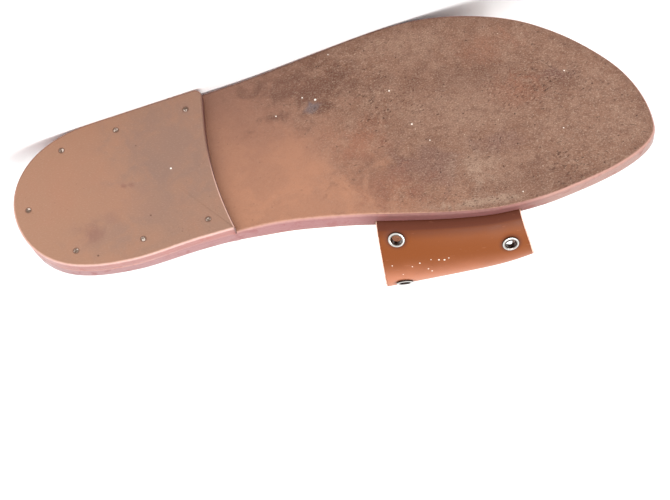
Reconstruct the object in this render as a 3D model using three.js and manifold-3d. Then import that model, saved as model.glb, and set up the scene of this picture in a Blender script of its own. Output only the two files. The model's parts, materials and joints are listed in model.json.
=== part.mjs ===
import * as THREE from 'three';
import { mergeVertices } from 'three/addons/utils/BufferGeometryUtils.js';
import Module from 'manifold-3d';

const wasm = await Module();
wasm.setup();

// A flat leather slide for the right foot: a one-piece outsole with a low heel lift,
// a thin insole, and one wide strap whose ends are held between insole and outsole.
// The shoe is built in its own axes, x from heel to toe, y to the inner side of the
// foot, z up from the tread, and is then laid on its outer side. Lengths are millimetres.

// Driving dimensions of the sole
const soleLength = 248;
const ballWidth = 86.5;
const outsoleThickness = 6.4;
const outsoleBevel = 0.5;
const insoleThickness = 1.7;
const insoleInset = 0.8;
const insoleBevel = 0.4;
const toeSpring = 6.5;

// Driving dimensions of the heel lift and its nails
const liftThickness = 5;
const liftLip = 0.8;
const heelTaper = 0.11;
const waistFlare = 0.15;
const liftBevel = 0.4;
const breastAt = 76.3;
const breastSweep = 8.8;
const breastCorner = 3.2;
const breastStart = 0.62;
const lipStart = 0.5;
const nailHeadDiameter = 2.4;
const nailShankDiameter = 1.3;
const nailHeadThickness = 0.7;
const nailLength = 4.2;
const nailDome = 0.15;
const nailFromEdge = 9.5;

// Driving dimensions of the strap
const strapWidth = 54.7;
const strapThickness = 1.9;
const strapBackEdge = 137.5;
const strapArch = 60;
const tabLength = 15;
const innerBendInset = 1;
const outerBendInset = 3.8;
const backEdgeLean = 0.03;
const frontEdgeLean = 0.3;
const leanHeight = 18;
const frontScoop = 15;

// Driving dimensions of the eyelets
const eyeletDiameter = 6.6;
const eyeletBackDiameter = 6.2;
const eyeletHole = 4;
const eyeletWall = 0.35;
const eyeletProud = 0.4;
const eyeletSeat = 0.4;
const eyeletFromBack = 6.8;
const eyeletFromFront = 7;

// Clearance left between neighbouring pieces
const gap = 0.3;
const layerGap = 0.35;

// Outline of the sole: at is a share of the sole's length from the heel, and the
// two edges are shares of the ball width from the shoe's long axis
const soleOutline = [
  { at: 0.0, outer: 0.0, inner: 0.0 },
  { at: 0.033, outer: 0.226, inner: 0.238 },
  { at: 0.09, outer: 0.334, inner: 0.332 },
  { at: 0.18, outer: 0.398, inner: 0.342 },
  { at: 0.295, outer: 0.466, inner: 0.268 },
  { at: 0.4, outer: 0.532, inner: 0.231 },
  { at: 0.5, outer: 0.594, inner: 0.254 },
  { at: 0.6, outer: 0.653, inner: 0.299 },
  { at: 0.67, outer: 0.676, inner: 0.323 },
  { at: 0.74, outer: 0.66, inner: 0.332 },
  { at: 0.81, outer: 0.608, inner: 0.307 },
  { at: 0.87, outer: 0.524, inner: 0.256 },
  { at: 0.925, outer: 0.412, inner: 0.192 },
  { at: 0.97, outer: 0.278, inner: 0.114 },
  { at: 1.0, outer: 0.015, inner: -0.015 },
];

// Nails of the lift: at is a share of the breast's distance from the heel, and inset is
// a share of nailFromEdge, measured from that side's edge. The last nail stands behind
// the heel's middle, a little to its inner side
const nailRows = [
  { at: 0.91, side: 'outer', inset: 0.8 },
  { at: 0.545, side: 'outer', inset: 0.72 },
  { at: 0.26, side: 'outer', inset: 0.7 },
  { at: 0.65, side: 'inner', inset: 0.75 },
  { at: 0.31, side: 'inner', inset: 0.65 },
  { at: 0.98, side: 'inner', inset: 0.62 },
];
const heelNail = { inset: 0.63, aside: 3 };

// Side view of the tread, as shares of the sole's length from the heel
const heelCentre = 0.155;
const waistStart = 0.31;
const waistFull = 0.4;
const waistEnd = 0.55;
const shankStart = 0.345;
const ballStart = 0.625;
const springStart = 0.785;

// Cross sections of the strap from its back edge to its front edge. Each side leaves
// the sole level, then turns through three arcs: a bend at the sole, the side wall and
// the shoulder. Radii are shares of the strap's arch height, and turns are the angle
// from level that each arc ends at, in degrees
const innerSections = [
  { at: 0, bend: 0.09, bendTo: 53, wall: 0.68, wallTo: 88, shoulder: 0.4, shoulderTo: 160 },
  { at: 0.5, bend: 0.088, bendTo: 52, wall: 0.54, wallTo: 84, shoulder: 0.28, shoulderTo: 159 },
  { at: 1, bend: 0.086, bendTo: 50, wall: 0.45, wallTo: 80, shoulder: 0.15, shoulderTo: 158 },
];
const outerSections = [
  { at: 0, bend: 0.054, bendTo: 81, wall: 2.2, wallTo: 93, shoulder: 0.38, shoulderTo: 160 },
  { at: 0.5, bend: 0.054, bendTo: 81, wall: 1.4, wallTo: 94, shoulder: 0.29, shoulderTo: 159 },
  { at: 1, bend: 0.054, bendTo: 81, wall: 0.7, wallTo: 95, shoulder: 0.22, shoulderTo: 158 },
];

// Mesh fineness
const soleStations = 50;
const strapStations = 8;
const tabSteps = 2;
const bendSteps = 6;
const wallSteps = 6;
const shoulderSteps = 7;
const crestSteps = 10;
const crestHandle = 0.36;
const scoopRange = [0.2, 1.25];
const scoopRise = 12;
const eyeletSides = 12;
const nailSides = 10;
const liftSteps = 26;
const breastSteps = 12;
const edgeShare = 0.0006;
const endClear = 1;
const normalStep = 0.01;

// Search for the resting turn: the widest turn tried in radians, and how often
const turnRange = 0.6;
const turnHalvings = 50;
const turnPasses = 8;
const heelShare = 0.4;

const leather = (name, color, roughness) =>
  new THREE.MeshStandardMaterial({ name, color, roughness, metalness: 0 });
const outsoleLeather = leather('outsole_leather', 0xb58d73, 0.8);
const liftLeather = leather('lift_leather', 0xbd9076, 0.7);
const insoleLeather = leather('insole_leather', 0xd9b5a4, 0.6);
const strapLeather = leather('strap_leather', 0xa86236, 0.45);
const nickel = new THREE.MeshStandardMaterial({ name: 'nickel', color: 0xc9c9c6, roughness: 0.25, metalness: 1 });
const nailSteel = new THREE.MeshStandardMaterial({ name: 'nail_steel', color: 0x6d6a68, roughness: 0.5, metalness: 1 });

// Smooth value of one column of a table, where key turns a row into its place
function smoothColumn(rows, key, column, place) {
  const knots = rows.map(key);
  const values = rows.map((row) => row[column]);
  const last = knots.length - 1;
  const slope = (i) => {
    const a = Math.max(i - 1, 0);
    const b = Math.min(i + 1, last);
    return (values[b] - values[a]) / (knots[b] - knots[a]);
  };
  let i = 0;
  while (i < last - 1 && place > knots[i + 1]) i += 1;
  const span = knots[i + 1] - knots[i];
  const t = (place - knots[i]) / span;
  const rise = values[i + 1] - values[i];
  const start = slope(i) * span;
  const end = slope(i + 1) * span;
  if (t < 0) return values[i] + start * t;
  if (t > 1) return values[i + 1] + end * (t - 1);
  return values[i] + t * (start + t * (3 * rise - 2 * start - end + t * (start + end - 2 * rise)));
}

// A share of the sole's length as an angle, so that both ends of the outline are round
const roundPlace = (share) => Math.acos(1 - 2 * THREE.MathUtils.clamp(share, 0, 1));

function soleEdge(x, side) {
  const place = roundPlace(x / soleLength);
  const width = smoothColumn(soleOutline, (row) => roundPlace(row.at), side, place) * ballWidth;
  return side === 'outer' ? -width : width;
}

// How far the sole's side stands out, at a height over its lowest face: it draws in
// round the heel, and flares on the inner side of the waist
function sideShift(x, y, height) {
  const heel = 1 - THREE.MathUtils.smoothstep(x / soleLength, heelCentre, waistStart);
  const waist = THREE.MathUtils.smoothstep(x / soleLength, waistStart, waistFull);
  const ball = THREE.MathUtils.smoothstep(x / soleLength, waistEnd, springStart);
  const edge = Math.abs(soleEdge(THREE.MathUtils.clamp(x, endClear, soleLength - endClear), y > 0 ? 'inner' : 'outer'));
  const across = Math.min(Math.abs(y) / edge, 1);
  const along = Math.max(0, 1 - x / (heelCentre * soleLength));
  const inward = heelTaper * height * heel;
  const outward = y > 0 ? waistFlare * height * waist * (1 - ball) : 0;
  return { x: inward * along * along, y: Math.sign(y) * across * (outward - inward * (1 - along * along)) };
}

function trimSides(geometry) {
  const points = geometry.attributes.position;
  for (let i = 0; i < points.count; i += 1) {
    const [x, y, z] = [points.getX(i), points.getY(i), points.getZ(i)];
    const lowest = x < breastAt + breastSweep ? 0 : treadHeight(x);
    const shift = sideShift(x, y, z - lowest);
    points.setX(i, x + shift.x);
    points.setY(i, y + shift.y);
  }
  return geometry;
}

// Height of the outsole's underside: over the lift, down the shank, flat at the ball,
// and up again at the toe
function treadHeight(x) {
  const share = x / soleLength;
  const shank = THREE.MathUtils.smoothstep(share, shankStart, ballStart);
  const spring = Math.max(0, (share - springStart) / (1 - springStart));
  return (liftThickness + gap) * (1 - shank) + toeSpring * spring * spring;
}

// Closed solid through rings of points, one ring for each station
function loft(rings) {
  const count = rings[0].length;
  const positions = rings.flat().flatMap((point) => point.toArray());
  const index = [];
  for (let r = 0; r + 1 < rings.length; r += 1) {
    for (let k = 0; k < count; k += 1) {
      const a = r * count + k;
      const b = r * count + ((k + 1) % count);
      index.push(a, b, b + count, a, b + count, a + count);
    }
  }
  const end = (rings.length - 1) * count;
  for (let k = 1; k + 1 < count; k += 1) {
    index.push(0, k + 1, k);
    index.push(end, end + k, end + k + 1);
  }
  return facingOut(toGeometry(positions, index));
}

function toGeometry(positions, index) {
  const geometry = new THREE.BufferGeometry();
  geometry.setAttribute('position', new THREE.Float32BufferAttribute(positions, 3));
  geometry.setIndex(index);
  return geometry;
}

function facingOut(geometry) {
  const points = geometry.attributes.position;
  const index = geometry.index.array;
  const [a, b, c] = [new THREE.Vector3(), new THREE.Vector3(), new THREE.Vector3()];
  let volume = 0;
  for (let i = 0; i < index.length; i += 3) {
    a.fromBufferAttribute(points, index[i]);
    b.fromBufferAttribute(points, index[i + 1]);
    c.fromBufferAttribute(points, index[i + 2]);
    volume += a.dot(b.cross(c));
  }
  if (volume < 0) {
    for (let i = 0; i < index.length; i += 3) {
      [index[i + 1], index[i + 2]] = [index[i + 2], index[i + 1]];
    }
  }
  return geometry;
}

function toManifold(geometry) {
  const bare = geometry.clone();
  bare.deleteAttribute('normal');
  bare.deleteAttribute('uv');
  const merged = mergeVertices(bare, 1e-4);
  const vertProperties = new Float32Array(merged.attributes.position.array);
  const triVerts = new Uint32Array(merged.index.array);
  return new wasm.Manifold(new wasm.Mesh({ numProp: 3, vertProperties, triVerts }));
}

function cutWith(geometry, tools) {
  let solid = toManifold(geometry);
  for (const tool of tools) {
    solid = solid.subtract(toManifold(tool));
  }
  const mesh = solid.getMesh();
  return toGeometry(Array.from(mesh.vertProperties), Array.from(mesh.triVerts));
}

// One layer of the sole: bottom is its height over the tread line, and its edge is
// drawn in by inset, with a bevel along its lower and upper rim
function soleLayer({ bottom, thickness, inset, lowerBevel, upperBevel }) {
  const rings = [];
  for (let s = 0; s <= soleStations; s += 1) {
    const turn = (Math.PI * s) / soleStations;
    const share = THREE.MathUtils.clamp((1 - Math.cos(turn)) / 2, edgeShare, 1 - edgeShare);
    const x = inset + share * (soleLength - 2 * inset);
    const narrow = 1 - (2 * inset) / ballWidth;
    const outer = soleEdge(share * soleLength, 'outer') * narrow;
    const inner = soleEdge(share * soleLength, 'inner') * narrow;
    const low = treadHeight(x) + bottom;
    const high = low + thickness;
    rings.push([
      new THREE.Vector3(x, outer + lowerBevel, low),
      new THREE.Vector3(x, inner - lowerBevel, low),
      new THREE.Vector3(x, inner, low + lowerBevel),
      new THREE.Vector3(x, inner, high - upperBevel),
      new THREE.Vector3(x, inner - upperBevel, high),
      new THREE.Vector3(x, outer + upperBevel, high),
      new THREE.Vector3(x, outer, high - upperBevel),
      new THREE.Vector3(x, outer, low + lowerBevel),
    ]);
  }
  return trimSides(loft(rings));
}

// Front line of the heel lift: square to the axis on the outer side, and swept
// forward towards the inner side
function breastLine(y) {
  const start = soleEdge(breastAt, 'outer') * breastStart;
  const end = soleEdge(breastAt, 'inner');
  const share = Math.max(0, (y - start) / (end - start));
  return breastAt + breastSweep * share * share;
}

function heelLift() {
  const lip = (x) => liftLip * THREE.MathUtils.smoothstep(x, breastAt * lipStart, breastAt);
  const innerCorner = breastAt + breastSweep;
  const outline = [];
  for (let s = 0; s <= liftSteps; s += 1) {
    const x = (breastAt - breastCorner) * (1 - Math.sin((Math.PI / 2) * (s / liftSteps)));
    outline.push(new THREE.Vector2(x, soleEdge(x, 'outer')));
  }
  for (let s = 1; s <= liftSteps; s += 1) {
    const x = innerCorner * (1 - Math.cos((Math.PI / 2) * (s / liftSteps)));
    outline.push(new THREE.Vector2(x, soleEdge(x, 'inner') + lip(x)));
  }
  const innerY = soleEdge(innerCorner, 'inner') + liftLip;
  const outerY = soleEdge(breastAt, 'outer') + breastCorner;
  for (let s = 1; s <= breastSteps; s += 1) {
    const y = THREE.MathUtils.lerp(innerY, outerY, s / breastSteps);
    outline.push(new THREE.Vector2(breastLine(y), y));
  }
  const round = breastCorner * Math.SQRT1_2;
  outline.push(new THREE.Vector2(breastAt - breastCorner + round, outerY - round));
  const shape = new THREE.Shape(outline.reverse());
  const lift = new THREE.ExtrudeGeometry(shape, {
    depth: liftThickness - 2 * liftBevel,
    bevelEnabled: true,
    bevelThickness: liftBevel,
    bevelSize: liftBevel,
    bevelOffset: -liftBevel,
    bevelSegments: 1,
  });
  lift.translate(0, 0, liftBevel);
  return trimSides(lift);
}

function nailPlaces() {
  const places = nailRows.map(({ at, side, inset }) => {
    const x = breastAt * at;
    const inward = side === 'outer' ? nailFromEdge : -nailFromEdge;
    return new THREE.Vector3(x, soleEdge(x, side) + inward * inset, 0);
  });
  places.push(new THREE.Vector3(nailFromEdge * heelNail.inset, heelNail.aside, 0));
  return places;
}

function turned(profile, sides) {
  return new THREE.LatheGeometry(profile.map(([radius, height]) => new THREE.Vector2(radius, height)), sides);
}

// Nail with its domed head level with the tread and its point upwards
function nailGeometry() {
  const head = nailHeadDiameter / 2;
  const shank = nailShankDiameter / 2;
  return turned([
    [0, -nailDome],
    [head * 0.7, -nailDome * 0.65],
    [head, 0],
    [head, nailHeadThickness],
    [shank, nailHeadThickness],
    [shank, nailLength * 0.75],
    [0, nailLength],
  ], nailSides).rotateX(Math.PI / 2);
}

// Room for a nail in the lift, open at the tread
function nailRoom() {
  const head = nailHeadDiameter / 2 + gap;
  const shank = nailShankDiameter / 2 + gap;
  const below = -nailHeadThickness;
  return turned([
    [0, below],
    [head, below],
    [head, nailHeadThickness + gap],
    [shank, nailHeadThickness + gap],
    [shank, nailLength],
    [0, nailLength + gap],
  ], nailSides).rotateX(Math.PI / 2);
}

// Half of a strap section from the tab's end upwards: out is measured away from the
// shoe's middle, up from the tab's middle height
function sideProfile(rows, u, extraTab) {
  const value = (column) => smoothColumn(rows, (row) => row.at, column, u);
  const points = [];
  for (let s = 0; s < tabSteps; s += 1) {
    points.push({ out: -(tabLength + extraTab) * (1 - s / tabSteps), up: 0 });
  }
  points.push({ out: 0, up: 0 });
  let heading = 0;
  const arc = (radius, endDegrees, steps) => {
    const start = points[points.length - 1];
    const end = THREE.MathUtils.degToRad(endDegrees);
    for (let s = 1; s <= steps; s += 1) {
      const angle = THREE.MathUtils.lerp(heading, end, s / steps);
      points.push({
        out: start.out + radius * (Math.sin(angle) - Math.sin(heading)),
        up: start.up + radius * (Math.cos(heading) - Math.cos(angle)),
      });
    }
    heading = end;
  };
  arc(value('bend') * strapArch, value('bendTo'), bendSteps);
  arc(value('wall') * strapArch, value('wallTo'), wallSteps);
  arc(value('shoulder') * strapArch, value('shoulderTo'), shoulderSteps);
  return { points, heading };
}

// How far a point of the strap draws back over the instep, most at the front edge and
// in the middle, and not at all at the sole
function scoopShift(u, y, up, middle, half) {
  const aside = THREE.MathUtils.smoothstep(Math.abs(y - middle) / half, ...scoopRange);
  return frontScoop * u * u * (1 - aside) * THREE.MathUtils.smoothstep(up, 0, scoopRise);
}

// Middle line of the strap at share u of its width, from the outer tab over the
// instep to the inner tab
function strapSection(u, extraTab = 0) {
  const x = strapBackEdge + u * strapWidth;
  const lean = THREE.MathUtils.lerp(backEdgeLean, frontEdgeLean, u);
  const tabMiddle = treadHeight(x) + outsoleThickness - strapThickness / 2;
  const rim = soleEdge(x, 'inner');
  const innerStart = rim + sideShift(x, rim, outsoleThickness).y - innerBendInset;
  const outerStart = soleEdge(x, 'outer') + outerBendInset;
  const outer = sideProfile(outerSections, u, extraTab);
  const inner = sideProfile(innerSections, u, extraTab);
  const place = (y, up) => new THREE.Vector3(x + lean * leanHeight * (1 - Math.exp(-up / leanHeight)), y, tabMiddle + up);
  const outerLine = outer.points.map(({ out, up }) => place(outerStart - out, up));
  const innerLine = inner.points.map(({ out, up }) => place(innerStart + out, up)).reverse();
  const from = outerLine[outerLine.length - 1];
  const to = innerLine[0];
  const handle = crestHandle * from.distanceTo(to);
  const heading = (angle, side, end) => new THREE.Vector3(
    lean * Math.exp((tabMiddle - end.z) / leanHeight) * Math.sin(angle),
    side * Math.cos(angle),
    Math.sin(angle),
  );
  const leave = heading(outer.heading, -1, from);
  const arrive = heading(inner.heading, 1, to);
  const crest = new THREE.CubicBezierCurve3(
    from,
    from.clone().addScaledVector(leave, handle),
    to.clone().addScaledVector(arrive, handle),
    to,
  );
  const crestLine = crest.getPoints(crestSteps).slice(1, -1);
  const line = [...outerLine, ...crestLine, ...innerLine];
  const middle = (innerStart + outerStart) / 2;
  const half = (innerStart - outerStart) / 2;
  for (const point of line) point.x -= scoopShift(u, point.y, point.z - tabMiddle, middle, half);
  return line;
}

// Normal of the strap's middle surface, pointing away from the foot
function strapNormal(rows, i, j) {
  const along = rows[i][Math.min(j + 1, rows[i].length - 1)].clone().sub(rows[i][Math.max(j - 1, 0)]);
  const across = rows[Math.min(i + 1, rows.length - 1)][j].clone().sub(rows[Math.max(i - 1, 0)][j]);
  return across.cross(along).normalize();
}

// The strap as one wall, or with a clearance the room that it needs in its neighbours
function strapShell(clearance) {
  const extra = clearance / strapWidth;
  const rows = [];
  for (let i = 0; i <= strapStations; i += 1) {
    rows.push(strapSection(THREE.MathUtils.lerp(-extra, 1 + extra, i / strapStations), clearance));
  }
  const columns = rows[0].length;
  const half = strapThickness / 2 + clearance;
  const rings = rows.map((row, i) => {
    const outside = row.map((point, j) => point.clone().addScaledVector(strapNormal(rows, i, j), half));
    const inside = row.map((point, j) => point.clone().addScaledVector(strapNormal(rows, i, j), -half));
    return [...outside, ...inside.reverse()];
  });
  const positions = rings.flat().flatMap((point) => point.toArray());
  const count = 2 * columns;
  const index = [];
  for (let i = 0; i < strapStations; i += 1) {
    for (let k = 0; k < count; k += 1) {
      const a = i * count + k;
      const b = i * count + ((k + 1) % count);
      index.push(a, b, b + count, a, b + count, a + count);
    }
  }
  for (const [ring, flip] of [[0, true], [strapStations, false]]) {
    for (let j = 0; j + 1 < columns; j += 1) {
      const a = ring * count + j;
      const b = a + 1;
      const d = ring * count + (count - 1 - j);
      const c = d - 1;
      if (flip) index.push(a, c, b, a, d, c);
      else index.push(a, b, c, a, c, d);
    }
  }
  return facingOut(toGeometry(positions, index));
}

// Point and normal of the strap's middle surface, at a share of its width and a
// length measured along it from the sole's inner edge
function strapPlace(u, fromInner) {
  const rows = [u - normalStep, u, u + normalStep].map((share) => strapSection(share));
  const line = rows[1];
  const lastStart = line.length - 1 - tabSteps;
  let travelled = 0;
  for (let j = lastStart; j > 0; j -= 1) {
    const length = line[j].distanceTo(line[j - 1]);
    if (travelled + length >= fromInner) {
      const share = (fromInner - travelled) / length;
      const point = line[j].clone().lerp(line[j - 1], share);
      const normal = strapNormal(rows, 1, j).lerp(strapNormal(rows, 1, j - 1), share).normalize();
      return { point, normal };
    }
    travelled += length;
  }
  throw new Error('place lies past the end of the strap');
}

function strapLength(u) {
  const line = strapSection(u);
  let total = 0;
  for (let j = tabSteps; j + 1 < line.length - tabSteps; j += 1) {
    total += line[j].distanceTo(line[j + 1]);
  }
  return total;
}

// Eyelet on the axis y, its show side up, with a rolled rim on both faces of the strap
function eyeletGeometry() {
  const bore = eyeletHole / 2;
  const barrel = bore + eyeletWall;
  const rim = eyeletDiameter / 2;
  const back = eyeletBackDiameter / 2;
  const under = strapThickness / 2 - eyeletSeat + gap;
  const top = strapThickness / 2 + eyeletProud;
  const thick = top - under;
  return facingOut(turned([
    [bore, -top + thick],
    [bore, top - thick],
    [bore + 0.3 * (rim - bore), top],
    [bore + 0.75 * (rim - bore), top - 0.05 * thick],
    [rim, under + 0.2 * thick],
    [barrel, under],
    [barrel, -under],
    [back, -under],
    [bore + 0.5 * (back - bore), -top],
    [bore, -top + thick],
  ], eyeletSides));
}

// Room for an eyelet: a through hole with a shallow seat on each face
function eyeletRoom() {
  const hole = eyeletHole / 2 + eyeletWall + gap;
  const seat = strapThickness / 2 - eyeletSeat;
  const clear = strapThickness * 1.5;
  return turned([
    [0, -clear],
    [eyeletBackDiameter / 2 + gap, -clear],
    [eyeletBackDiameter / 2 + gap, -seat],
    [hole, -seat],
    [hole, seat],
    [eyeletDiameter / 2 + gap, seat],
    [eyeletDiameter / 2 + gap, clear],
    [0, clear],
  ], eyeletSides);
}

// Eyelets along both edges of the strap, placed alike from both sides of the sole
const eyeletRows = [
  { edge: 'back', fromSole: 7.3, count: 7 },
  { edge: 'front', fromSole: 13.4, count: 6 },
];

function eyeletPlaces() {
  const places = [];
  for (const { edge, fromSole, count } of eyeletRows) {
    const u = edge === 'back' ? eyeletFromBack / strapWidth : 1 - eyeletFromFront / strapWidth;
    const length = strapLength(u);
    for (let k = 0; k < count; k += 1) {
      const along = fromSole + ((length - 2 * fromSole) * k) / (count - 1);
      places.push({ edge, ...strapPlace(u, along) });
    }
  }
  return places;
}

function named(name, geometry, material) {
  const mesh = new THREE.Mesh(geometry, material);
  mesh.name = name;
  return mesh;
}

const shoe = new THREE.Group();

const strapRoom = strapShell(gap);
const outsole = soleLayer({
  bottom: 0,
  thickness: outsoleThickness,
  inset: 0,
  lowerBevel: outsoleBevel,
  upperBevel: outsoleBevel * 0.5,
});
shoe.add(named('outsole', cutWith(outsole, [strapRoom]), outsoleLeather));

const insole = soleLayer({
  bottom: outsoleThickness + layerGap,
  thickness: insoleThickness,
  inset: insoleInset,
  lowerBevel: insoleBevel * 0.5,
  upperBevel: insoleBevel,
});
shoe.add(named('insole', cutWith(insole, [strapRoom]), insoleLeather));

const nailPoints = nailPlaces();
const nailRooms = nailPoints.map((point) => nailRoom().translate(point.x, point.y, point.z));
shoe.add(named('heel_lift', cutWith(heelLift(), nailRooms), liftLeather));
nailPoints.forEach((point, k) => {
  const nail = named(`heel_nail_${k + 1}`, nailGeometry(), nailSteel);
  nail.position.copy(point);
  shoe.add(nail);
});

const up = new THREE.Vector3(0, 1, 0);
const eyelets = eyeletPlaces();
const eyeletRooms = eyelets.map(({ point, normal }) => {
  const turn = new THREE.Quaternion().setFromUnitVectors(up, normal);
  return eyeletRoom().applyQuaternion(turn).translate(point.x, point.y, point.z);
});
shoe.add(named('upper_band', cutWith(strapShell(0), eyeletRooms), strapLeather));
eyelets.forEach(({ edge, point, normal }, k) => {
  const eyelet = named(`eyelet_${edge}_${k + 1}`, eyeletGeometry(), nickel);
  eyelet.position.copy(point);
  eyelet.quaternion.setFromUnitVectors(up, normal);
  shoe.add(eyelet);
});

// The shoe's axes in the resting frame: the toe to -x, the tread to -y and the inner
// side up
const laidOver = new THREE.Matrix4().makeBasis(
  new THREE.Vector3(-1, 0, 0),
  new THREE.Vector3(0, 0, 1),
  new THREE.Vector3(0, 1, 0),
);

function cornersOf(root, test) {
  root.updateMatrixWorld(true);
  const corners = [];
  root.traverse((object) => {
    if (!object.isMesh || !test(object.name)) return;
    const points = object.geometry.attributes.position;
    for (let i = 0; i < points.count; i += 1) {
      corners.push(new THREE.Vector3().fromBufferAttribute(points, i).applyMatrix4(object.matrixWorld));
    }
  });
  return corners;
}

// Turn that brings both heights level, found by halving a range of angles
function levelTurn(difference, low, high) {
  let [a, b] = [low, high];
  const rising = difference(b) > difference(a);
  for (let s = 0; s < turnHalvings; s += 1) {
    const middle = (a + b) / 2;
    if (difference(middle) > 0 === rising) b = middle;
    else a = middle;
  }
  return (a + b) / 2;
}

// Rest on the outer side: swung until the heel and the ball of the sole touch the
// floor together, and rolled until the sole's edge and the strap do
function restTurn(root) {
  const isSole = (name) => name === 'outsole' || name === 'heel_lift';
  const isUpper = (name) => name.startsWith('upper') || name.startsWith('eyelet');
  const soleCorners = cornersOf(root, isSole);
  const heelPart = soleCorners.filter((point) => point.x < soleLength * heelShare);
  const frontPart = soleCorners.filter((point) => point.x >= soleLength * heelShare);
  const upperPart = cornersOf(root, isUpper);
  const lowest = (points, turn) => Math.min(...points.map((point) => {
    const e = turn.elements;
    return e[2] * point.x + e[6] * point.y + e[10] * point.z;
  }));
  const turnOf = (swing, roll) => new THREE.Matrix4()
    .makeRotationX(roll)
    .multiply(new THREE.Matrix4().makeRotationY(swing))
    .multiply(laidOver);
  let [swing, roll] = [0, 0];
  for (let pass = 0; pass < turnPasses; pass += 1) {
    swing = levelTurn((angle) => {
      const turn = turnOf(angle, roll);
      return lowest(heelPart, turn) - lowest(frontPart, turn);
    }, -turnRange, turnRange);
    roll = levelTurn((angle) => {
      const turn = turnOf(swing, angle);
      return lowest(soleCorners, turn) - lowest(upperPart, turn);
    }, -turnRange, turnRange);
  }
  return turnOf(swing, roll);
}

const resting = new THREE.Group();
resting.add(shoe);
shoe.quaternion.setFromRotationMatrix(restTurn(shoe));
const box = new THREE.Box3().setFromPoints(cornersOf(resting, () => true));
shoe.position.set(-(box.min.x + box.max.x) / 2, -(box.min.y + box.max.y) / 2, -box.min.z);

export default resting;
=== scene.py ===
import json
import math
from functools import reduce

import bmesh
import bpy
import numpy as np
from mathutils import Matrix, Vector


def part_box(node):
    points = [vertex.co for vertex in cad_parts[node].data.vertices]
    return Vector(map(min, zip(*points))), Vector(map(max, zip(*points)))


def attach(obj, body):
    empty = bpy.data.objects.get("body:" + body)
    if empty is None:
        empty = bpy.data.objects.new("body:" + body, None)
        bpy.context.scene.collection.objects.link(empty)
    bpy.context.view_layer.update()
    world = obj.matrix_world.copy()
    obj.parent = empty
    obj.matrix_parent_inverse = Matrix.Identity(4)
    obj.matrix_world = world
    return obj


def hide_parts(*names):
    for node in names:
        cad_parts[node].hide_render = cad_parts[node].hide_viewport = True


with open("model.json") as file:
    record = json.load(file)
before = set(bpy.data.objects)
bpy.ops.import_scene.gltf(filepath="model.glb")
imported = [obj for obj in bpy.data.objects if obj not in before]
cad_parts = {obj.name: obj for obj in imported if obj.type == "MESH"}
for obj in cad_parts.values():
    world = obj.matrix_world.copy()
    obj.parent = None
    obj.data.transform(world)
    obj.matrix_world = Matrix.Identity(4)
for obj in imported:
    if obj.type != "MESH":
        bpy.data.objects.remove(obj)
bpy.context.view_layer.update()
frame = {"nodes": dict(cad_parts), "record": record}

print("frame loaded,", len(frame["nodes"]), "nodes")

# All shapes are worked out in the shoe's own axes, in millimetres: x from heel to toe,
# y to the inner side of the foot, z up from the tread. Both mounts lie on the tread and
# their places in these axes are known, so they carry the shoe into the row's frame.
mountPlaces = {"heel_tread": (42.0, 0.0), "ball_tread": (172.0, -15.0)}


def unit(vector):
    return vector / np.linalg.norm(vector, axis=-1, keepdims=True)


def shoeAxes(record):
    mounts = {mount["name"]: mount for mount in record["mounts"]}
    heel, ball = (np.array(mounts[name]["pos_m"], float) for name in mountPlaces)
    (heelX, heelY), (ballX, ballY) = mountPlaces.values()
    up = unit(-np.array(mounts["heel_tread"]["axis"], float))
    along = ball - heel
    along = unit(along - up * along.dot(up))
    swing = math.atan2(ballY - heelY, ballX - heelX)
    forward = math.cos(swing) * along - math.sin(swing) * np.cross(up, along)
    inward = np.cross(up, forward)
    origin = heel - (heelX * forward + heelY * inward) / 1000
    return origin, np.stack([forward, inward, up])


rowOrigin, rowAxes = shoeAxes(frame["record"])


def toRow(points):
    return rowOrigin + np.asarray(points, float) / 1000 @ rowAxes


def toShoe(points):
    return (np.asarray(points, float) - rowOrigin) @ rowAxes.T * 1000


# Camera, floor and light

cameraFit = {
    "place": (153.96, 360.58, -673.08),      # shoe axes, mm
    "right": (0.99028, 0.10033, 0.09633),
    "down": (-0.13204, 0.89575, 0.42449),
    "focalPixels": 2000.0,
    "imageWidth": 670,
}
studio = {
    "worldStrength": 1.25,
    "worldColor": (1.0, 1.0, 1.0, 1.0),
    "floorColor": (0.92, 0.92, 0.92, 1.0),
    "floorHalf": 4.0,
    "lights": [
        # name, place, aim, size, power
        ("topSoft", (0.0, -0.5, 1.5), (0, -0.05, 0.0), 0.7, 13.0),
        ("soleSoft", (-0.5, -1.6, 0.8), (0, 0, 0.05), 1.4, 0.8),
        ("backSoft", (-0.3, 1.3, 1.3), (0, 0.1, 0.0), 1.4, 2.5),
    ],
}


def matrixFrom(*columns):
    # Three axes and a place as an object's matrix
    return Matrix([*np.stack(columns, 1).tolist(), [0, 0, 0, 1]])


def addObject(name, data):
    made = bpy.data.objects.new(name, data)
    bpy.context.scene.collection.objects.link(made)
    return made


def addCamera():
    camera = addObject("photoCamera", bpy.data.cameras.new("photoCamera"))
    right = unit(np.array(cameraFit["right"]) @ rowAxes)
    down = np.array(cameraFit["down"]) @ rowAxes
    down = unit(down - right * down.dot(right))
    camera.matrix_world = matrixFrom(right, -down, np.cross(right, -down), toRow(cameraFit["place"]))
    camera.data.sensor_fit = "HORIZONTAL"
    camera.data.sensor_width = 36.0
    camera.data.lens = cameraFit["focalPixels"] / cameraFit["imageWidth"] * 36.0
    camera.data.clip_start = 0.05
    bpy.context.scene.camera = camera


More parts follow.
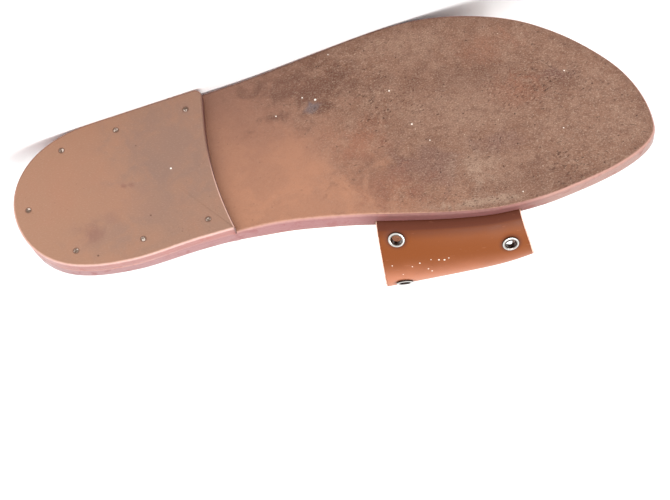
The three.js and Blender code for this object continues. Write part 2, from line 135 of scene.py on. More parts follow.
def addStudio():
    world = bpy.data.worlds.new("studioWorld")
    world.use_nodes = True
    background = world.node_tree.nodes["Background"]
    background.inputs["Color"].default_value = studio["worldColor"]
    background.inputs["Strength"].default_value = studio["worldStrength"]
    bpy.context.scene.world = world
    bpy.context.scene.view_settings.view_transform = "Standard"
    for name, place, aim, size, power in studio["lights"]:
        lamp = bpy.data.lights.new(name, "AREA")
        lamp.shape = "SQUARE"
        lamp.size = size
        lamp.energy = power
        away = unit(np.array(place, float) - np.array(aim, float))
        side = unit(np.cross((0, 0, 1), away))
        addObject(name, lamp).matrix_world = matrixFrom(side, np.cross(away, side), away, place)


addCamera()
addStudio()
print("camera and lights set")


# Node helpers

def tone(red, green, blue):
    # An 8-bit display colour in linear light
    share = np.array([red, green, blue]) / 255
    linear = np.where(share <= 0.04045, share / 12.92, ((share + 0.055) / 1.055) ** 2.4)
    return (*linear.tolist(), 1.0)


def feed(socket, value):
    if isinstance(value, bpy.types.NodeSocket):
        socket.id_data.links.new(value, socket)
    else:
        socket.default_value = value


def putNode(kind, sockets, **settings):
    # The new node joins the tree of whatever it reads
    tree = next(value.id_data for value in sockets.values() if isinstance(value, bpy.types.NodeSocket))
    made = tree.nodes.new(kind)
    for key, value in settings.items():
        setattr(made, key, value)
    for key, value in sockets.items():
        feed(made.inputs[key], value)
    return made.outputs


def calc(operation, first, second=0.0, third=0.0):
    return putNode("ShaderNodeMath", {0: first, 1: second, 2: third}, operation=operation)[0]


def times(first, second):
    return calc("MULTIPLY", first, second)


def ease(value, low, high, toLow=0.0, toHigh=1.0):
    numbers = dict(enumerate((value, low, high, toLow, toHigh)))
    return putNode("ShaderNodeMapRange", numbers, interpolation_type="SMOOTHSTEP")[0]


def blend(mask, first, second):
    return putNode("ShaderNodeMix", {0: mask, 6: first, 7: second}, data_type="RGBA", blend_type="MIX")[2]


def lay(color, mask, strength, over):
    # One colour laid over another where the mask says, at a share of its strength
    return blend(times(mask, strength), color, over)


def span(first, second, operation):
    return putNode("ShaderNodeVectorMath", {0: first, 1: second}, operation=operation)


def stretched(place, scale, shift=(0.0, 0.0, 0.0), turn=(0.0, 0.0, 0.0)):
    sockets = {"Vector": place, "Scale": scale, "Location": shift, "Rotation": turn}
    return putNode("ShaderNodeMapping", sockets)[0]


def noise(place, scale, detail=2.0, rough=0.5, warp=0.0):
    return putNode("ShaderNodeTexNoise", {"Vector": place, "Scale": scale, "Detail": detail,
                                          "Roughness": rough, "Distortion": warp})[0]


def effect(output="Mask", **inputs):
    # Turns a function that makes nodes into a node group, and gives back what places that group
    def build(make):
        group = bpy.data.node_groups.new(make.__name__, "ShaderNodeTree")
        for label, value in {"Place": (0.0, 0.0, 0.0), **inputs}.items():
            kind = "NodeSocketVector" if isinstance(value, tuple) else "NodeSocketFloat"
            group.interface.new_socket(name=label, in_out="INPUT", socket_type=kind).default_value = value
        group.interface.new_socket(name=output, in_out="OUTPUT", socket_type="NodeSocketFloat")
        given = group.nodes.new("NodeGroupInput").outputs
        feed(group.nodes.new("NodeGroupOutput").inputs[output], make(given["Place"], given))

        def use(place, **sockets):
            made = place.id_data.nodes.new("ShaderNodeGroup")
            made.node_tree = group
            for key, value in {"Place": place, **sockets}.items():
                feed(made.inputs[key], value)
            return made.outputs[output]
        return use
    return build


# Effects that several leathers share

@effect("Height", Size=20.0, Fibre=0.4)
def leatherGrain(place, given):
    # Cells of a leather's pores with finer fibre between them
    cells = putNode("ShaderNodeTexVoronoi", {"Vector": place, "Scale": given["Size"]}, feature="SMOOTH_F1")[0]
    fibre = noise(place, times(given["Size"], 2.6), 3.0, 0.6)
    return putNode("ShaderNodeMix", {0: given["Fibre"], 2: cells, 3: fibre}, data_type="FLOAT")[0]


@effect(Size=1.0, Low=0.45, High=0.6, Detail=3.0)
def softPatches(place, given):
    # Soft, warped clouds between two thresholds of a noise
    return ease(noise(place, given["Size"], given["Detail"], 0.6, 0.4), given["Low"], given["High"])


@effect(Fine=12.0, Stretch=(0.25, 1.0, 1.0), Cover=0.68, Soft=0.06)
def drawnMarks(place, given):
    # Short marks drawn out along one direction; Cover is the threshold of the noise
    marks = noise(span(place, given["Stretch"], "MULTIPLY")[0], given["Fine"], 2.0, 0.55, 0.25)
    return ease(marks, given["Cover"], calc("ADD", given["Cover"], given["Soft"]))


@effect(Size=6.0, Radius=0.12, Keep=0.8)
def looseSpecks(place, given):
    # Single specks: the middles of a few cells, kept where the cell's own number is high
    cells = putNode("ShaderNodeTexVoronoi", {"Vector": place, "Scale": given["Size"]})
    dot = ease(cells[0], given["Radius"], times(given["Radius"], 0.5))
    number = putNode("ShaderNodeSeparateColor", {0: cells[1]})[0]
    return times(dot, calc("GREATER_THAN", number, given["Keep"]))


@effect(Distance=0.0, Width=1.0, Broken=0.5)
def rimWear(place, given):
    # Wear along an edge: full at the edge and broken up by noise towards Width
    push = times(calc("SUBTRACT", noise(place, 6.0, 4.0, 0.65), 0.5), given["Broken"])
    return ease(calc("ADD", calc("DIVIDE", given["Distance"], given["Width"]), push), 1.0, 0.0)


@effect(Centre=(0.0, 0.0, 0.0), Reach=(1.0, 1.0, 1.0), Ragged=0.5)
def placedStain(place, given):
    # One soft stain at a given place: 1 at its centre, fading over Reach with a ragged border
    share = span(span(place, given["Centre"], "SUBTRACT")[0], given["Reach"], "DIVIDE")[0]
    size = putNode("ShaderNodeVectorMath", {0: share}, operation="LENGTH")["Value"]
    push = times(calc("SUBTRACT", noise(place, 1.3, 5.0, 0.65, 0.5), 0.5), times(given["Ragged"], 5.0))
    return ease(calc("ADD", size, push), 1.15, 0.1)


print("shared effects built")


def joined(masks, operation="MAXIMUM"):
    # One mask out of several
    return reduce(lambda first, second: calc(operation, first, second), masks)


def roundDots(place, dots):
    # Small round marks at given places: x, y and z of the middle and the radius, in cm
    return joined([ease(span(place, (x, y, z), "DISTANCE")["Value"], radius, radius * 0.6)
                   for x, y, z, radius in dots])


def onSurface(dots, rise):
    return [(x, y, float(rise(x * 10)) / 10, radius) for x, y, radius in dots]


def stainMasks(place, stains, level, ragged):
    return [placedStain(place, Centre=(*middle, level), Reach=(*reach, 9.0), Ragged=ragged)
            for middle, reach in stains]


def layStains(color, place, stains, look, level, ragged):
    masks = stainMasks(place, [stain[1:3] for stain in stains], level, ragged)
    for mask, (name, _, _, strength) in zip(masks, stains):
        color = lay(color, mask, strength, look[name])
    return color


def newMaterial(name, **plain):
    # The material, its shader's sockets, own(), which reads what the mesh carries at each point,
    # and the place of each point on the shoe, in centimetres
    material = bpy.data.materials.new(name)
    material.use_nodes = True
    shader = material.node_tree.nodes["Principled BSDF"].inputs
    for key, value in plain.items():
        shader[key.replace("_", " ")].default_value = value

    def own(attribute, output="Fac"):
        made = material.node_tree.nodes.new("ShaderNodeAttribute")
        made.attribute_name = attribute
        return made.outputs[output]
    return material, shader, own, own("shoePlace", "Vector")


def setSurface(shader, color, mask, *roughness):
    # The colour, and a roughness that runs with a mask from one value to another
    feed(shader["Base Color"], color)
    feed(shader["Roughness"], ease(mask, 0.0, 1.0, *roughness))


def addBump(shader, height, depth, strength=1.0, under=None):
    sockets = {"Height": height, "Distance": depth, "Strength": strength}
    if under is not None:
        sockets["Normal"] = under
    normal = putNode("ShaderNodeBump", sockets)["Normal"]
    feed(shader["Normal"], normal)
    return normal


def fibreMaterial(name, gloss, first, second, roughness, strength, **marks):
    # Two colours mixed by drawn marks, which set the roughness and the bump too
    material, shader, _, place = newMaterial(name, Specular_IOR_Level=gloss)
    lines = drawnMarks(place, **marks)
    setSurface(shader, blend(lines, first, second), lines, *roughness)
    addBump(shader, lines, 0.0001, strength)
    return material


# Sole outline, as in the frame: shares of the sole's length and of the ball's width

sole = {
    "length": 248.0,
    "ballWidth": 86.5,
    "thickness": 6.4,
    "toeSpring": 6.5,
    "liftThickness": 5.0,
    "clearance": 0.3,
    "heelTaper": 0.11,
    "waistFlare": 0.15,
    "loopPoints": 520,
    "rimRound": (0.5, 1.0),      # lower edge, at the waist and worn at the ball
    "topRound": 0.25,
    "shank": (0.345, 0.625),     # shares of the length where the waist drops to the ball
    "springFrom": 0.785,
    "heelRound": 0.155,
    "spine": (36, 206),
    "underRings": [1.2, 1.8, 3, 6, 10],
    "topRings": [0.6, 1.0, 1.6, 2.3, 3.0, 3.8, 6, 10, 15.2, 15.4],
}
outlineAt = np.array([0, .033, .09, .18, .295, .4, .5, .6, .67, .74, .81, .87, .925, .97, 1])
outlineOuter = np.array([0, .226, .334, .398, .466, .532, .594, .653, .676, .66, .608, .524, .412, .278,
                         .015])
outlineInner = np.array([0, .238, .332, .342, .268, .231, .254, .299, .323, .332, .307, .256, .192, .114,
                         -.015])
strap = {
    "width": 54.7,
    "thickness": 1.9,
    "backEdge": 137.5,
    "arch": 60.0,
    "tab": 15.0,
    "bend": (0.088, 0.054),      # radius by the sole as a share of arch, inner and outer side
    "innerInset": 1.0,
    "outerInset": 3.8,
    "lean": (0.03, 0.3),
    "leanHeight": 18.0,
    "scoop": 15.0,
    "scoopRise": 12.0,
    "crestHandle": 0.36,
    "cell": 1.1,
    "edgeRound": 0.4,
}
heel = {
    "breastAt": 76.3,
    "breastSweep": 8.8,
    "corner": 3.2,
    "lip": 0.8,
    "round": 0.45,
    "topRound": 0.3,
    "spine": (26, 58),
    "sweepFrom": 0.62,      # share of the half width, on the outer side, where the breast starts to sweep
}


def smoothStep(value, low, high):
    share = np.clip((value - low) / (high - low), 0, 1)
    return share * share * (3 - 2 * share)


def smoothCurve(knots, values, place):
    # Cubic pieces through the knots; the slope at a knot is the chord of its neighbours
    count = len(knots)
    ahead = np.minimum(np.arange(count) + 1, count - 1)
    behind = np.maximum(np.arange(count) - 1, 0)
    slope = (values[ahead] - values[behind]) / (knots[ahead] - knots[behind])
    i = np.clip(np.searchsorted(knots, place) - 1, 0, count - 2)
    span = knots[i + 1] - knots[i]
    t = (place - knots[i]) / span
    rise = values[i + 1] - values[i]
    a, b = slope[i] * span, slope[i + 1] * span
    inside = values[i] + t * (a + t * (3 * rise - 2 * a - b + t * (a + b - 2 * rise)))
    return np.where(t < 0, values[i] + a * t, np.where(t > 1, values[i + 1] + b * (t - 1), inside))


def roundPlace(share):
    return np.arccos(1 - 2 * np.clip(share, 0, 1))


def soleEdge(x, inner):
    place = roundPlace(np.asarray(x, float) / sole["length"])
    knots = roundPlace(outlineAt)
    outerWidth = smoothCurve(knots, outlineOuter, place)
    innerWidth = smoothCurve(knots, outlineInner, place)
    return np.where(inner, innerWidth, -outerWidth) * sole["ballWidth"]


def treadHeight(x):
    share = np.asarray(x, float) / sole["length"]
    shank = smoothStep(share, *sole["shank"])
    spring = np.maximum(0, (share - sole["springFrom"]) / (1 - sole["springFrom"]))
    return (sole["liftThickness"] + sole["clearance"]) * (1 - shank) + sole["toeSpring"] * spring ** 2


def trimSides(points):
    # The sides draw in towards the top round the heel and flare on the waist's inner side
    x, y, z = points[..., 0], points[..., 1], points[..., 2]
    share = x / sole["length"]
    lowest = np.where(x < heel["breastAt"] + heel["breastSweep"], 0, treadHeight(x))
    height = z - lowest
    atHeel = 1 - smoothStep(share, sole["heelRound"], 2 * sole["heelRound"])
    atWaist = smoothStep(share, 2 * sole["heelRound"], 0.4)
    atWaist = atWaist * (1 - smoothStep(share, 0.55, sole["springFrom"]))
    edge = np.abs(soleEdge(np.clip(x, 1, sole["length"] - 1), y > 0))
    across = np.minimum(np.abs(y) / edge, 1)
    along = np.maximum(0, 1 - share / sole["heelRound"])
    inward = sole["heelTaper"] * height * atHeel
    outward = np.where(y > 0, sole["waistFlare"] * height * atWaist, 0)
    moved = points.copy()
    moved[..., 0] = x + inward * along ** 2
    moved[..., 1] = y + np.sign(y) * across * (outward - inward * (1 - along ** 2))
    return moved


# Mesh helpers

def gridFaces(rows, columns, closed):
    # Quads between neighbouring rows; closed joins the last column to the first
    r, c = np.meshgrid(np.arange(rows - 1), np.arange(columns if closed else columns - 1), indexing="ij")
    nextC = (c + 1) % columns
    return np.stack([r * columns + c, r * columns + nextC, (r + 1) * columns + nextC, (r + 1) * columns + c],
                    -1).reshape(-1, 4)


def manyFaces(faces, size, count):
    # The faces of one small shape repeated for count shapes of size points each
    return (faces[None] + (np.arange(count) * size)[:, None, None]).reshape(-1, 4)


def makeMesh(name, points, faces):
    mesh = bpy.data.meshes.new(name)
    mesh.from_pydata(toRow(points.reshape(-1, 3)).tolist(), [], faces.tolist())
    return mesh


def mergePoints(mesh, closeHoles=False):
    # Seams and poles are merged, and the faces turned outwards if they point in
    work = bmesh.new()
    work.from_mesh(mesh)
    bmesh.ops.remove_doubles(work, verts=work.verts, dist=2e-6)
    if closeHoles:
        bmesh.ops.holes_fill(work, edges=[edge for edge in work.edges if edge.is_boundary])
    if work.calc_volume(signed=True) < 0:
        bmesh.ops.reverse_faces(work, faces=work.faces)
    work.to_mesh(mesh)
    work.free()


def addPiece(name, points, faces, materials, attributes=None, faceMaterial=None, replaces=(),
             crease=35.0, closeHoles=False):
    mesh = makeMesh(name, points, faces)
    for material in materials:
        mesh.materials.append(material)
    if faceMaterial is not None:
        mesh.polygons.foreach_set("material_index", np.asarray(faceMaterial, np.int32))
    for key, values in {"shoePlace": points.reshape(-1, 3) / 10, **(attributes or {})}.items():
        kind, field = ("FLOAT_VECTOR", "vector") if values.ndim > 1 else ("FLOAT", "value")
        layer = mesh.attributes.new(key, kind, "POINT")
        layer.data.foreach_set(field, values.ravel().astype(np.float32))
    mergePoints(mesh, closeHoles)
    mesh.polygons.foreach_set("use_smooth", np.ones(len(mesh.polygons), bool))
    mesh.set_sharp_from_angle(angle=math.radians(crease))
    piece = addObject(name, mesh)
    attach(piece, "root")
    if replaces:
        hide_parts(*replaces)
    return piece


def loopNormals(line):
    # Outward normals of a closed line that runs anticlockwise seen from above
    along = np.roll(line, -1, 0) - np.roll(line, 1, 0)
    return unit(np.stack([along[:, 1], -along[:, 0]], 1))


def roundedWall(low, top, middles, height):
    # Inset and height rings of a wall: rounded at its foot, plain, and rounded at its rim
    def corner(radius, steps):
        turn = np.linspace(0, math.pi / 2, steps)
        radii = radius * np.ones_like(height)
        return np.outer(1 - np.sin(turn), radii), np.outer(1 - np.cos(turn), radii)

    (lowInset, lowHeight), (topDrop, topInset) = corner(low, 5), corner(top, 4)
    return (np.concatenate([lowInset, np.zeros_like(middles), topInset]),
            np.concatenate([lowHeight, middles, height - topDrop]))


def slab(line, bottomInsets, wall, topInsets, topHeight, spine, fillSteps, bottom):
    # Closed slab: the ring of the outline is carried from the middle of the underside out to
    # the rim, up the wall and back to the middle on top. wall holds inset and height rings.
    # Past the innermost inset the points run straight to the spine, a line along the middle.
    # Gives points, faces, each face's ring counted from the rim, and what the mesh carries.
    normals, count = loopNormals(line), len(line)
    gap, far = 0.02, 30.0
    full = lambda value: np.broadcast_to(value, (count,))
    at = lambda inset: line - normals * full(inset)[:, None]

    def inside(insets, limit):
        return [np.maximum(inset, full(limit) + gap * (k + 1)) for k, inset in enumerate(insets)]

    def towardsMiddle(flat, share):
        x = np.clip(flat[:, 0], *spine)
        middle = np.stack([x, (soleEdge(x, True) + soleEdge(x, False)) / 2], 1)
        return flat + (middle - flat) * share

    under, over = inside(bottomInsets, wall[0][0])[::-1], inside(topInsets, wall[0][-1])
    shares = np.linspace(1, 0, fillSteps, endpoint=False)
    rings = [(towardsMiddle(at(under[0]), share), 0.0, far) for share in shares]
    rings += [(at(inset), 0.0, inset) for inset in under]
    rings += [(at(inset), height, inset) for inset, height in zip(*wall)]
    rings += [(at(inset), topHeight(at(inset), full(inset)), inset) for inset in over]
    for share in np.linspace(0, 1, fillSteps + 1)[1:]:
        flat = towardsMiddle(at(over[-1]), share)
        rings.append((flat, topHeight(flat, full(far)), far))
    flats = np.stack([flat for flat, _, _ in rings])
    rise, insets = (np.stack([full(ring[k]) for ring in rings]) for k in (1, 2))
    points = trimSides(np.concatenate([flats, (bottom(flats[..., 0]) + rise)[..., None]], -1))
    faces = gridFaces(len(rings), count, True)
    ring = np.arange(len(faces)) // count - fillSteps - len(under)
    return points.reshape(-1, 3), faces, ring, {"rimDistance": insets.ravel(), "wallHeight": rise.ravel()}


def soleLine(marks=()):
    turn = np.linspace(0, 2 * math.pi, sole["loopPoints"], endpoint=False)
    extra = roundPlace(np.array(marks) / sole["length"])
    turn = np.unique(np.concatenate([turn, extra, 2 * math.pi - extra]))
    x = sole["length"] * (1 - np.cos(turn)) / 2
    inner = turn > math.pi
    return np.stack([x, soleEdge(x, inner)], 1), inner


strapSpan = (strap["backEdge"] - sole["clearance"], strap["backEdge"] + strap["width"] + sole["clearance"])
spanMarks = [strapSpan[0] - 0.04, strapSpan[0] + 0.04, strapSpan[1] - 0.04, strapSpan[1] + 0.04]


def inSpan(x):
    return (x > strapSpan[0]) & (x < strapSpan[1])


def strapBed(x, inset, inner):
    # Height of the outsole's top over the tread: lowered under the strap's tabs, and
    # rising with the strap's bend towards the rim
    bend = np.where(inner, *strap["bend"]) * strap["arch"]
    start = np.where(inner, strap["innerInset"], strap["outerInset"])
    half = strap["thickness"] / 2
    reach = bend + half + sole["clearance"]
    out = np.clip(start - inset, 0, reach)
    low = sole["thickness"] - half + bend - np.sqrt(reach ** 2 - out ** 2)
    bedded = inSpan(x) & (inset < strap["tab"] + sole["clearance"])
    return np.where(bedded, np.minimum(low, sole["thickness"]), sole["thickness"])


# Leather of the outsole: smooth and warm under the arch, worn matt and mottled at the ball

treadLook = {
    "arch": tone(166, 116, 89),
    "archGrey": tone(131, 92, 75),
    "ball": tone(129, 93, 75),
    "ballGrey": tone(146, 113, 95),
    "brown": tone(96, 62, 49),
    "red": tone(142, 90, 68),
    "plum": tone(110, 78, 73),
    "pit": tone(70, 44, 34),
    "pale": tone(178, 151, 130),
    "dust": tone(204, 181, 160),
    "speck": tone(246, 238, 228),
    "smudge": tone(112, 100, 102),
    "rim": tone(206, 158, 140),
    "shadow": tone(134, 84, 62),
}
# Stains seen on the tread: colour, middle (x, y in cm), reach (cm), strength
treadStains = [
    ("brown", (11.8, -3.6), (2.4, 1.6), 0.75),
    ("brown", (14.6, 0.6), (2.2, 1.4), 0.45),
    ("plum", (16.0, 0.7), (1.7, 1.2), 0.42),
    ("plum", (18.6, 0.1), (1.3, 0.6), 0.45),
    ("plum", (21.2, -2.6), (0.8, 0.35), 0.5),
    ("brown", (17.8, -3.1), (2.6, 1.1), 0.45),
    ("brown", (20.6, -2.2), (2.2, 1.0), 0.4),
    ("brown", (20.2, 1.9), (2.4, 0.8), 0.35),
    ("red", (18.9, -4.2), (1.5, 0.9), 0.38),
    ("red", (19.8, -2.1), (1.3, 0.9), 0.5),
    ("red", (13.6, -0.9), (1.2, 1.0), 0.5),
    ("red", (14.6, 1.5), (1.6, 0.9), 0.45),
    ("brown", (22.4, 2.6), (2.2, 0.5), 0.5),
    ("ballGrey", (15.2, -4.8), (2.2, 0.9), 0.7),
    ("ballGrey", (17.5, -1.5), (2.2, 1.5), 0.6),
    ("ballGrey", (18.3, 1.2), (1.3, 0.8), 0.6),
    ("ballGrey", (17.6, 2.6), (2.6, 0.4), 0.55),
    ("ballGrey", (23.2, -0.6), (1.6, 2.4), 0.3),
    ("pale", (17.7, 2.5), (1.9, 0.22), 0.5),
    ("pale", (17.9, 0.9), (1.0, 0.8), 0.3),
    ("smudge", (11.8, -2.7), (0.35, 0.3), 0.75),
]
treadFlecks = [(12.0, -3.0, 0.055), (11.5, -3.2, 0.035), (10.4, -2.6, 0.035), (14.9, -2.8, 0.04),
               (15.6, -1.2, 0.042), (21.7, -2.7, 0.035), (21.3, -0.2, 0.03), (16.2, -0.4, 0.03),
               (12.7, -4.9, 0.03), (19.4, 2.3, 0.03)]
# Where pits and short scratches gather: middle and reach in cm
treadScuffs = [((20.4, -2.2), (3.2, 1.6)), ((18.3, 0.2), (1.6, 1.0)), ((14.6, -2.4), (3.4, 1.4)),
               ((17.2, 2.4), (3.0, 0.6)), ((21.5, 1.4), (2.4, 1.2))]
# Fibre of the worn ball, laid in this order: turned or not, fineness, stretch, cover, softness,
# strength and colour
treadFibre = {
    "blotch": (False, 5.0, 0.8, 0.45, 0.26, 0.38, "brown"),
    "raised": (False, 21.0, 0.7, 0.47, 0.2, 0.42, "pale"),
    "dark": (True, 18.0, 0.7, 0.48, 0.2, 0.42, "brown"),
    "dusty": (True, 26.0, 0.4, 0.62, 0.1, 0.4, "dust"),
}


def treadMaterial():
    material, shader, own, place = newMaterial("outsoleTread", Specular_IOR_Level=0.3)
    look = treadLook
    x, y, _ = putNode("ShaderNodeSeparateXYZ", {0: place})
    sway = times(calc("SUBTRACT", noise(place, 0.45, 5.0, 0.6), 0.5), 6.0)
    worn = ease(calc("ADD", calc("MULTIPLY_ADD", y, -0.75, x), sway), 10.6, 16.4)
    grey = ease(calc("ADD", times(y, -1.0), times(sway, 0.35)), -1.6, 5.0)
    color = blend(grey, look["arch"], look["archGrey"])
    color = lay(color, softPatches(place, Size=0.9, Low=0.42, High=0.62), 0.25, look["archGrey"])
    # the worn ball: clouds of two sizes, then fibre and dust
    clouds = softPatches(place, Size=1.5, Low=0.38, High=0.66, Detail=5.0)
    ball = lay(look["ball"], clouds, 0.62, look["ballGrey"])
    shifted = stretched(place, (0.8, 1.1, 1.0), (7.0, 3.0, 0.0))
    ball = lay(ball, softPatches(shifted, Size=1.1, Low=0.5, High=0.75, Detail=5.0), 0.6, look["brown"])
    color = layStains(blend(worn, color, ball), place, treadStains, look, 0.3, 0.8)
    amount = calc("MULTIPLY_ADD", worn, 0.85, 0.15)
    turned = stretched(place, (1, 1, 1), (4.0, 2.0, 0.0), (0.0, 0.0, 0.6))
    fibre = {}
    for name, (isTurned, fine, stretch, cover, soft, strength, over) in treadFibre.items():
        fibre[name] = drawnMarks(turned if isTurned else place, Fine=fine, Stretch=(stretch, 1.0, 1.0),
                                 Cover=cover, Soft=soft)
        color = lay(color, times(fibre[name], amount), strength, look[over])
    # pits everywhere, and short nicks where the sole is scuffed
    pits = drawnMarks(place, Fine=10.0, Stretch=(0.55, 1.0, 1.0), Cover=0.675, Soft=0.05)
    nicks = drawnMarks(turned, Fine=13.0, Stretch=(0.5, 1.0, 1.0), Cover=0.615, Soft=0.06)
    scuffed = joined(stainMasks(place, treadScuffs, 0.3, 0.7))
    gathered = times(nicks, times(scuffed, worn))
    pitMask = calc("MAXIMUM", times(pits, amount), gathered)
    color = lay(color, pitMask, 0.8, look["pit"])
    dots = looseSpecks(place, Size=2.6, Radius=0.11, Keep=0.6)
    dotMask = times(dots, calc("MULTIPLY_ADD", worn, 0.7, 0.2))
    color = blend(dotMask, color, look["pit"])
    specks = looseSpecks(stretched(place, (1, 1, 1), (3.3, 1.7, 0.4)), Size=2.2, Radius=0.07, Keep=0.8)
    color = lay(color, times(specks, worn), 0.8, look["dust"])
    color = blend(roundDots(place, onSurface(treadFlecks, treadHeight)), color, look["speck"])
    # painted shade just in front of the breast line, where the lift's step meets the outsole
    color = lay(color, ease(own("breastDistance"), 3.5, 0.0), 0.2, look["shadow"])
    # the rim: a brown band inboard of it on the worn ball; on the rim itself pale along the inner side,
    # partly wear and partly a painted highlight on the bevel, and dark along the outer side
    rim = own("rimDistance")
    color = lay(color, times(ease(rim, 6.5, 1.0), worn), 0.22, look["brown"])
    rimWearAndHighlight = blend(ease(y, -0.6, 0.4), look["pit"], look["rim"])
    color = lay(color, rimWear(place, Distance=rim, Width=1.1, Broken=0.7), 0.9, rimWearAndHighlight)
    setSurface(shader, color, worn, 0.5, 0.85)
    under = addBump(shader, leatherGrain(place, Size=26.0, Fibre=0.6), 0.0001, 0.5)
    raised = times(calc("SUBTRACT", fibre["raised"], fibre["dark"]), times(worn, 0.3))
    addBump(shader, calc("SUBTRACT", raised, calc("MAXIMUM", pitMask, dotMask)), 0.0003, 0.8, under)
    return material


wallLook = {
    "waist": tone(150, 98, 97),
    "ball": tone(102, 56, 52),
    "toe": tone(146, 102, 88),
    "low": tone(190, 142, 130),
    "dark": tone(92, 46, 40),
    "streak": tone(138, 80, 78),
}


def wallMaterial(name, look):
    # Burnished cut edge of sole leather: fibre streaks along it and a paler lower rim, partly wear and partly
    # a painted highlight along the bevel
    material, shader, own, place = newMaterial(name, Specular_IOR_Level=0.5, Coat_Roughness=0.3)
    x = putNode("ShaderNodeSeparateXYZ", {0: place})[0]
    color = blend(ease(x, 12.5, 14.5), look["waist"], look["ball"])
    color = blend(ease(x, 18.5, 21.0), color, look["toe"])
    lines = drawnMarks(place, Fine=14.0, Stretch=(0.12, 0.12, 1.6), Cover=0.45, Soft=0.25)
    color = lay(color, lines, 0.35, look["streak"])
    patches = softPatches(place, Size=1.6, Low=0.5, High=0.7)
    color = lay(color, patches, 0.3, look["streak"])
    # paler lower rim: partly wear, partly a painted highlight along the bevel; weaker on the matt ball
    low = rimWear(place, Distance=own("wallHeight"), Width=1.5, Broken=0.8)
    dull = times(ease(x, 12.5, 14.5), ease(x, 21.0, 18.5))
    color = lay(color, low, calc("MULTIPLY_ADD", dull, -0.5, 0.75), look["low"])
    color = blend(own("shade"), color, look["dark"])
    feed(shader["Base Color"], color)
    feed(shader["Roughness"], calc("MULTIPLY_ADD", dull, 0.3, ease(patches, 0.0, 1.0, 0.36, 0.55)))
    feed(shader["Coat Weight"], times(calc("SUBTRACT", 1.0, dull), ease(patches, 0.0, 1.0, 0.35, 0.1)))
    addBump(shader, drawnMarks(place, Fine=20.0, Stretch=(0.1, 0.1, 1.2), Cover=0.3, Soft=0.4), 0.00012, 0.5)
    return material


def breastLine(y):
    start = soleEdge(heel["breastAt"], False) * heel["sweepFrom"]
    end = soleEdge(heel["breastAt"], True)
    share = np.maximum(0, (y - start) / (end - start))
    return heel["breastAt"] + heel["breastSweep"] * share ** 2


def addOutsole():
    line, inner = soleLine(spanMarks)
    low, worn = sole["rimRound"]
    rim = strapBed(line[:, 0], 0.0, inner)
    wall = roundedWall(low + (worn - low) * smoothStep(line[:, 0], 120, 175), sole["topRound"],
                       np.outer((0.25, 0.5, 0.75), rim - 1.4) + 1.0, rim)
    topHeight = lambda flat, inset: strapBed(flat[:, 0], inset, inner)
    points, faces, ring, attributes = slab(line, sole["underRings"], wall, sole["topRings"], topHeight,
                                           sole["spine"], 8, treadHeight)
    attributes["breastDistance"] = np.maximum(points[:, 0] - breastLine(points[:, 1]), 0)
    attributes["shade"] = np.zeros(len(points))
    addPiece("outsole_leather_sole", points, faces, [treadMaterial(), wallMaterial("outsoleWall", wallLook)],
             attributes, np.where(ring < 1, 0, 1), ["outsole"])


addOutsole()
print("outsole made")

# Heel lift: one flat layer of sole leather with the seven nails round its edge

liftLook = {
    "base": tone(152, 111, 87),
    "grey": tone(131, 102, 88),
    "warm": tone(155, 109, 85),
    "stain": tone(118, 74, 64),
    "dark": tone(104, 68, 52),
    "pale": tone(214, 184, 164),
    "speck": tone(246, 238, 228),
    "rim": tone(222, 178, 164),
}
liftStains = [
    ("grey", (6.2, -1.6), (2.8, 2.6), 0.7),
    ("grey", (5.6, 0.8), (2.0, 1.8), 0.45),
    ("grey", (3.6, 1.8), (1.8, 1.0), 0.45),
    ("grey", (4.9, -0.6), (1.2, 0.7), 0.35),
    ("stain", (4.32, -0.2), (0.16, 0.14), 0.6),
    ("stain", (4.62, -0.22), (0.14, 0.12), 0.5),
    ("stain", (3.0, 1.6), (0.6, 0.5), 0.4),
    ("stain", (3.9, 1.1), (0.5, 0.35), 0.16),
    ("warm", (1.9, -0.4), (1.6, 1.8), 0.35),
    ("warm", (4.2, 0.4), (1.6, 0.9), 0.3),
]
liftFlecks = [(6.2, -0.7, 0.045)]
liftDots = [(5.3, 1.2, 0.045), (3.2, 2.6, 0.05), (4.9, -1.9, 0.03)]
liftWallLook = {
    "waist": tone(154, 92, 84),
    "ball": tone(160, 92, 80),
    "toe": tone(200, 150, 126),
    "low": tone(220, 182, 172),
    "dark": tone(92, 50, 42),
    "streak": tone(180, 108, 98),
}
nailNames = sorted(name for name in frame["nodes"] if name.startswith("heel_nail"))


def nodeMiddle(name):
    low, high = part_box(name)
    return toShoe((np.array(low) + np.array(high)) / 2)


nailCentres = {name: nodeMiddle(name) for name in nailNames}


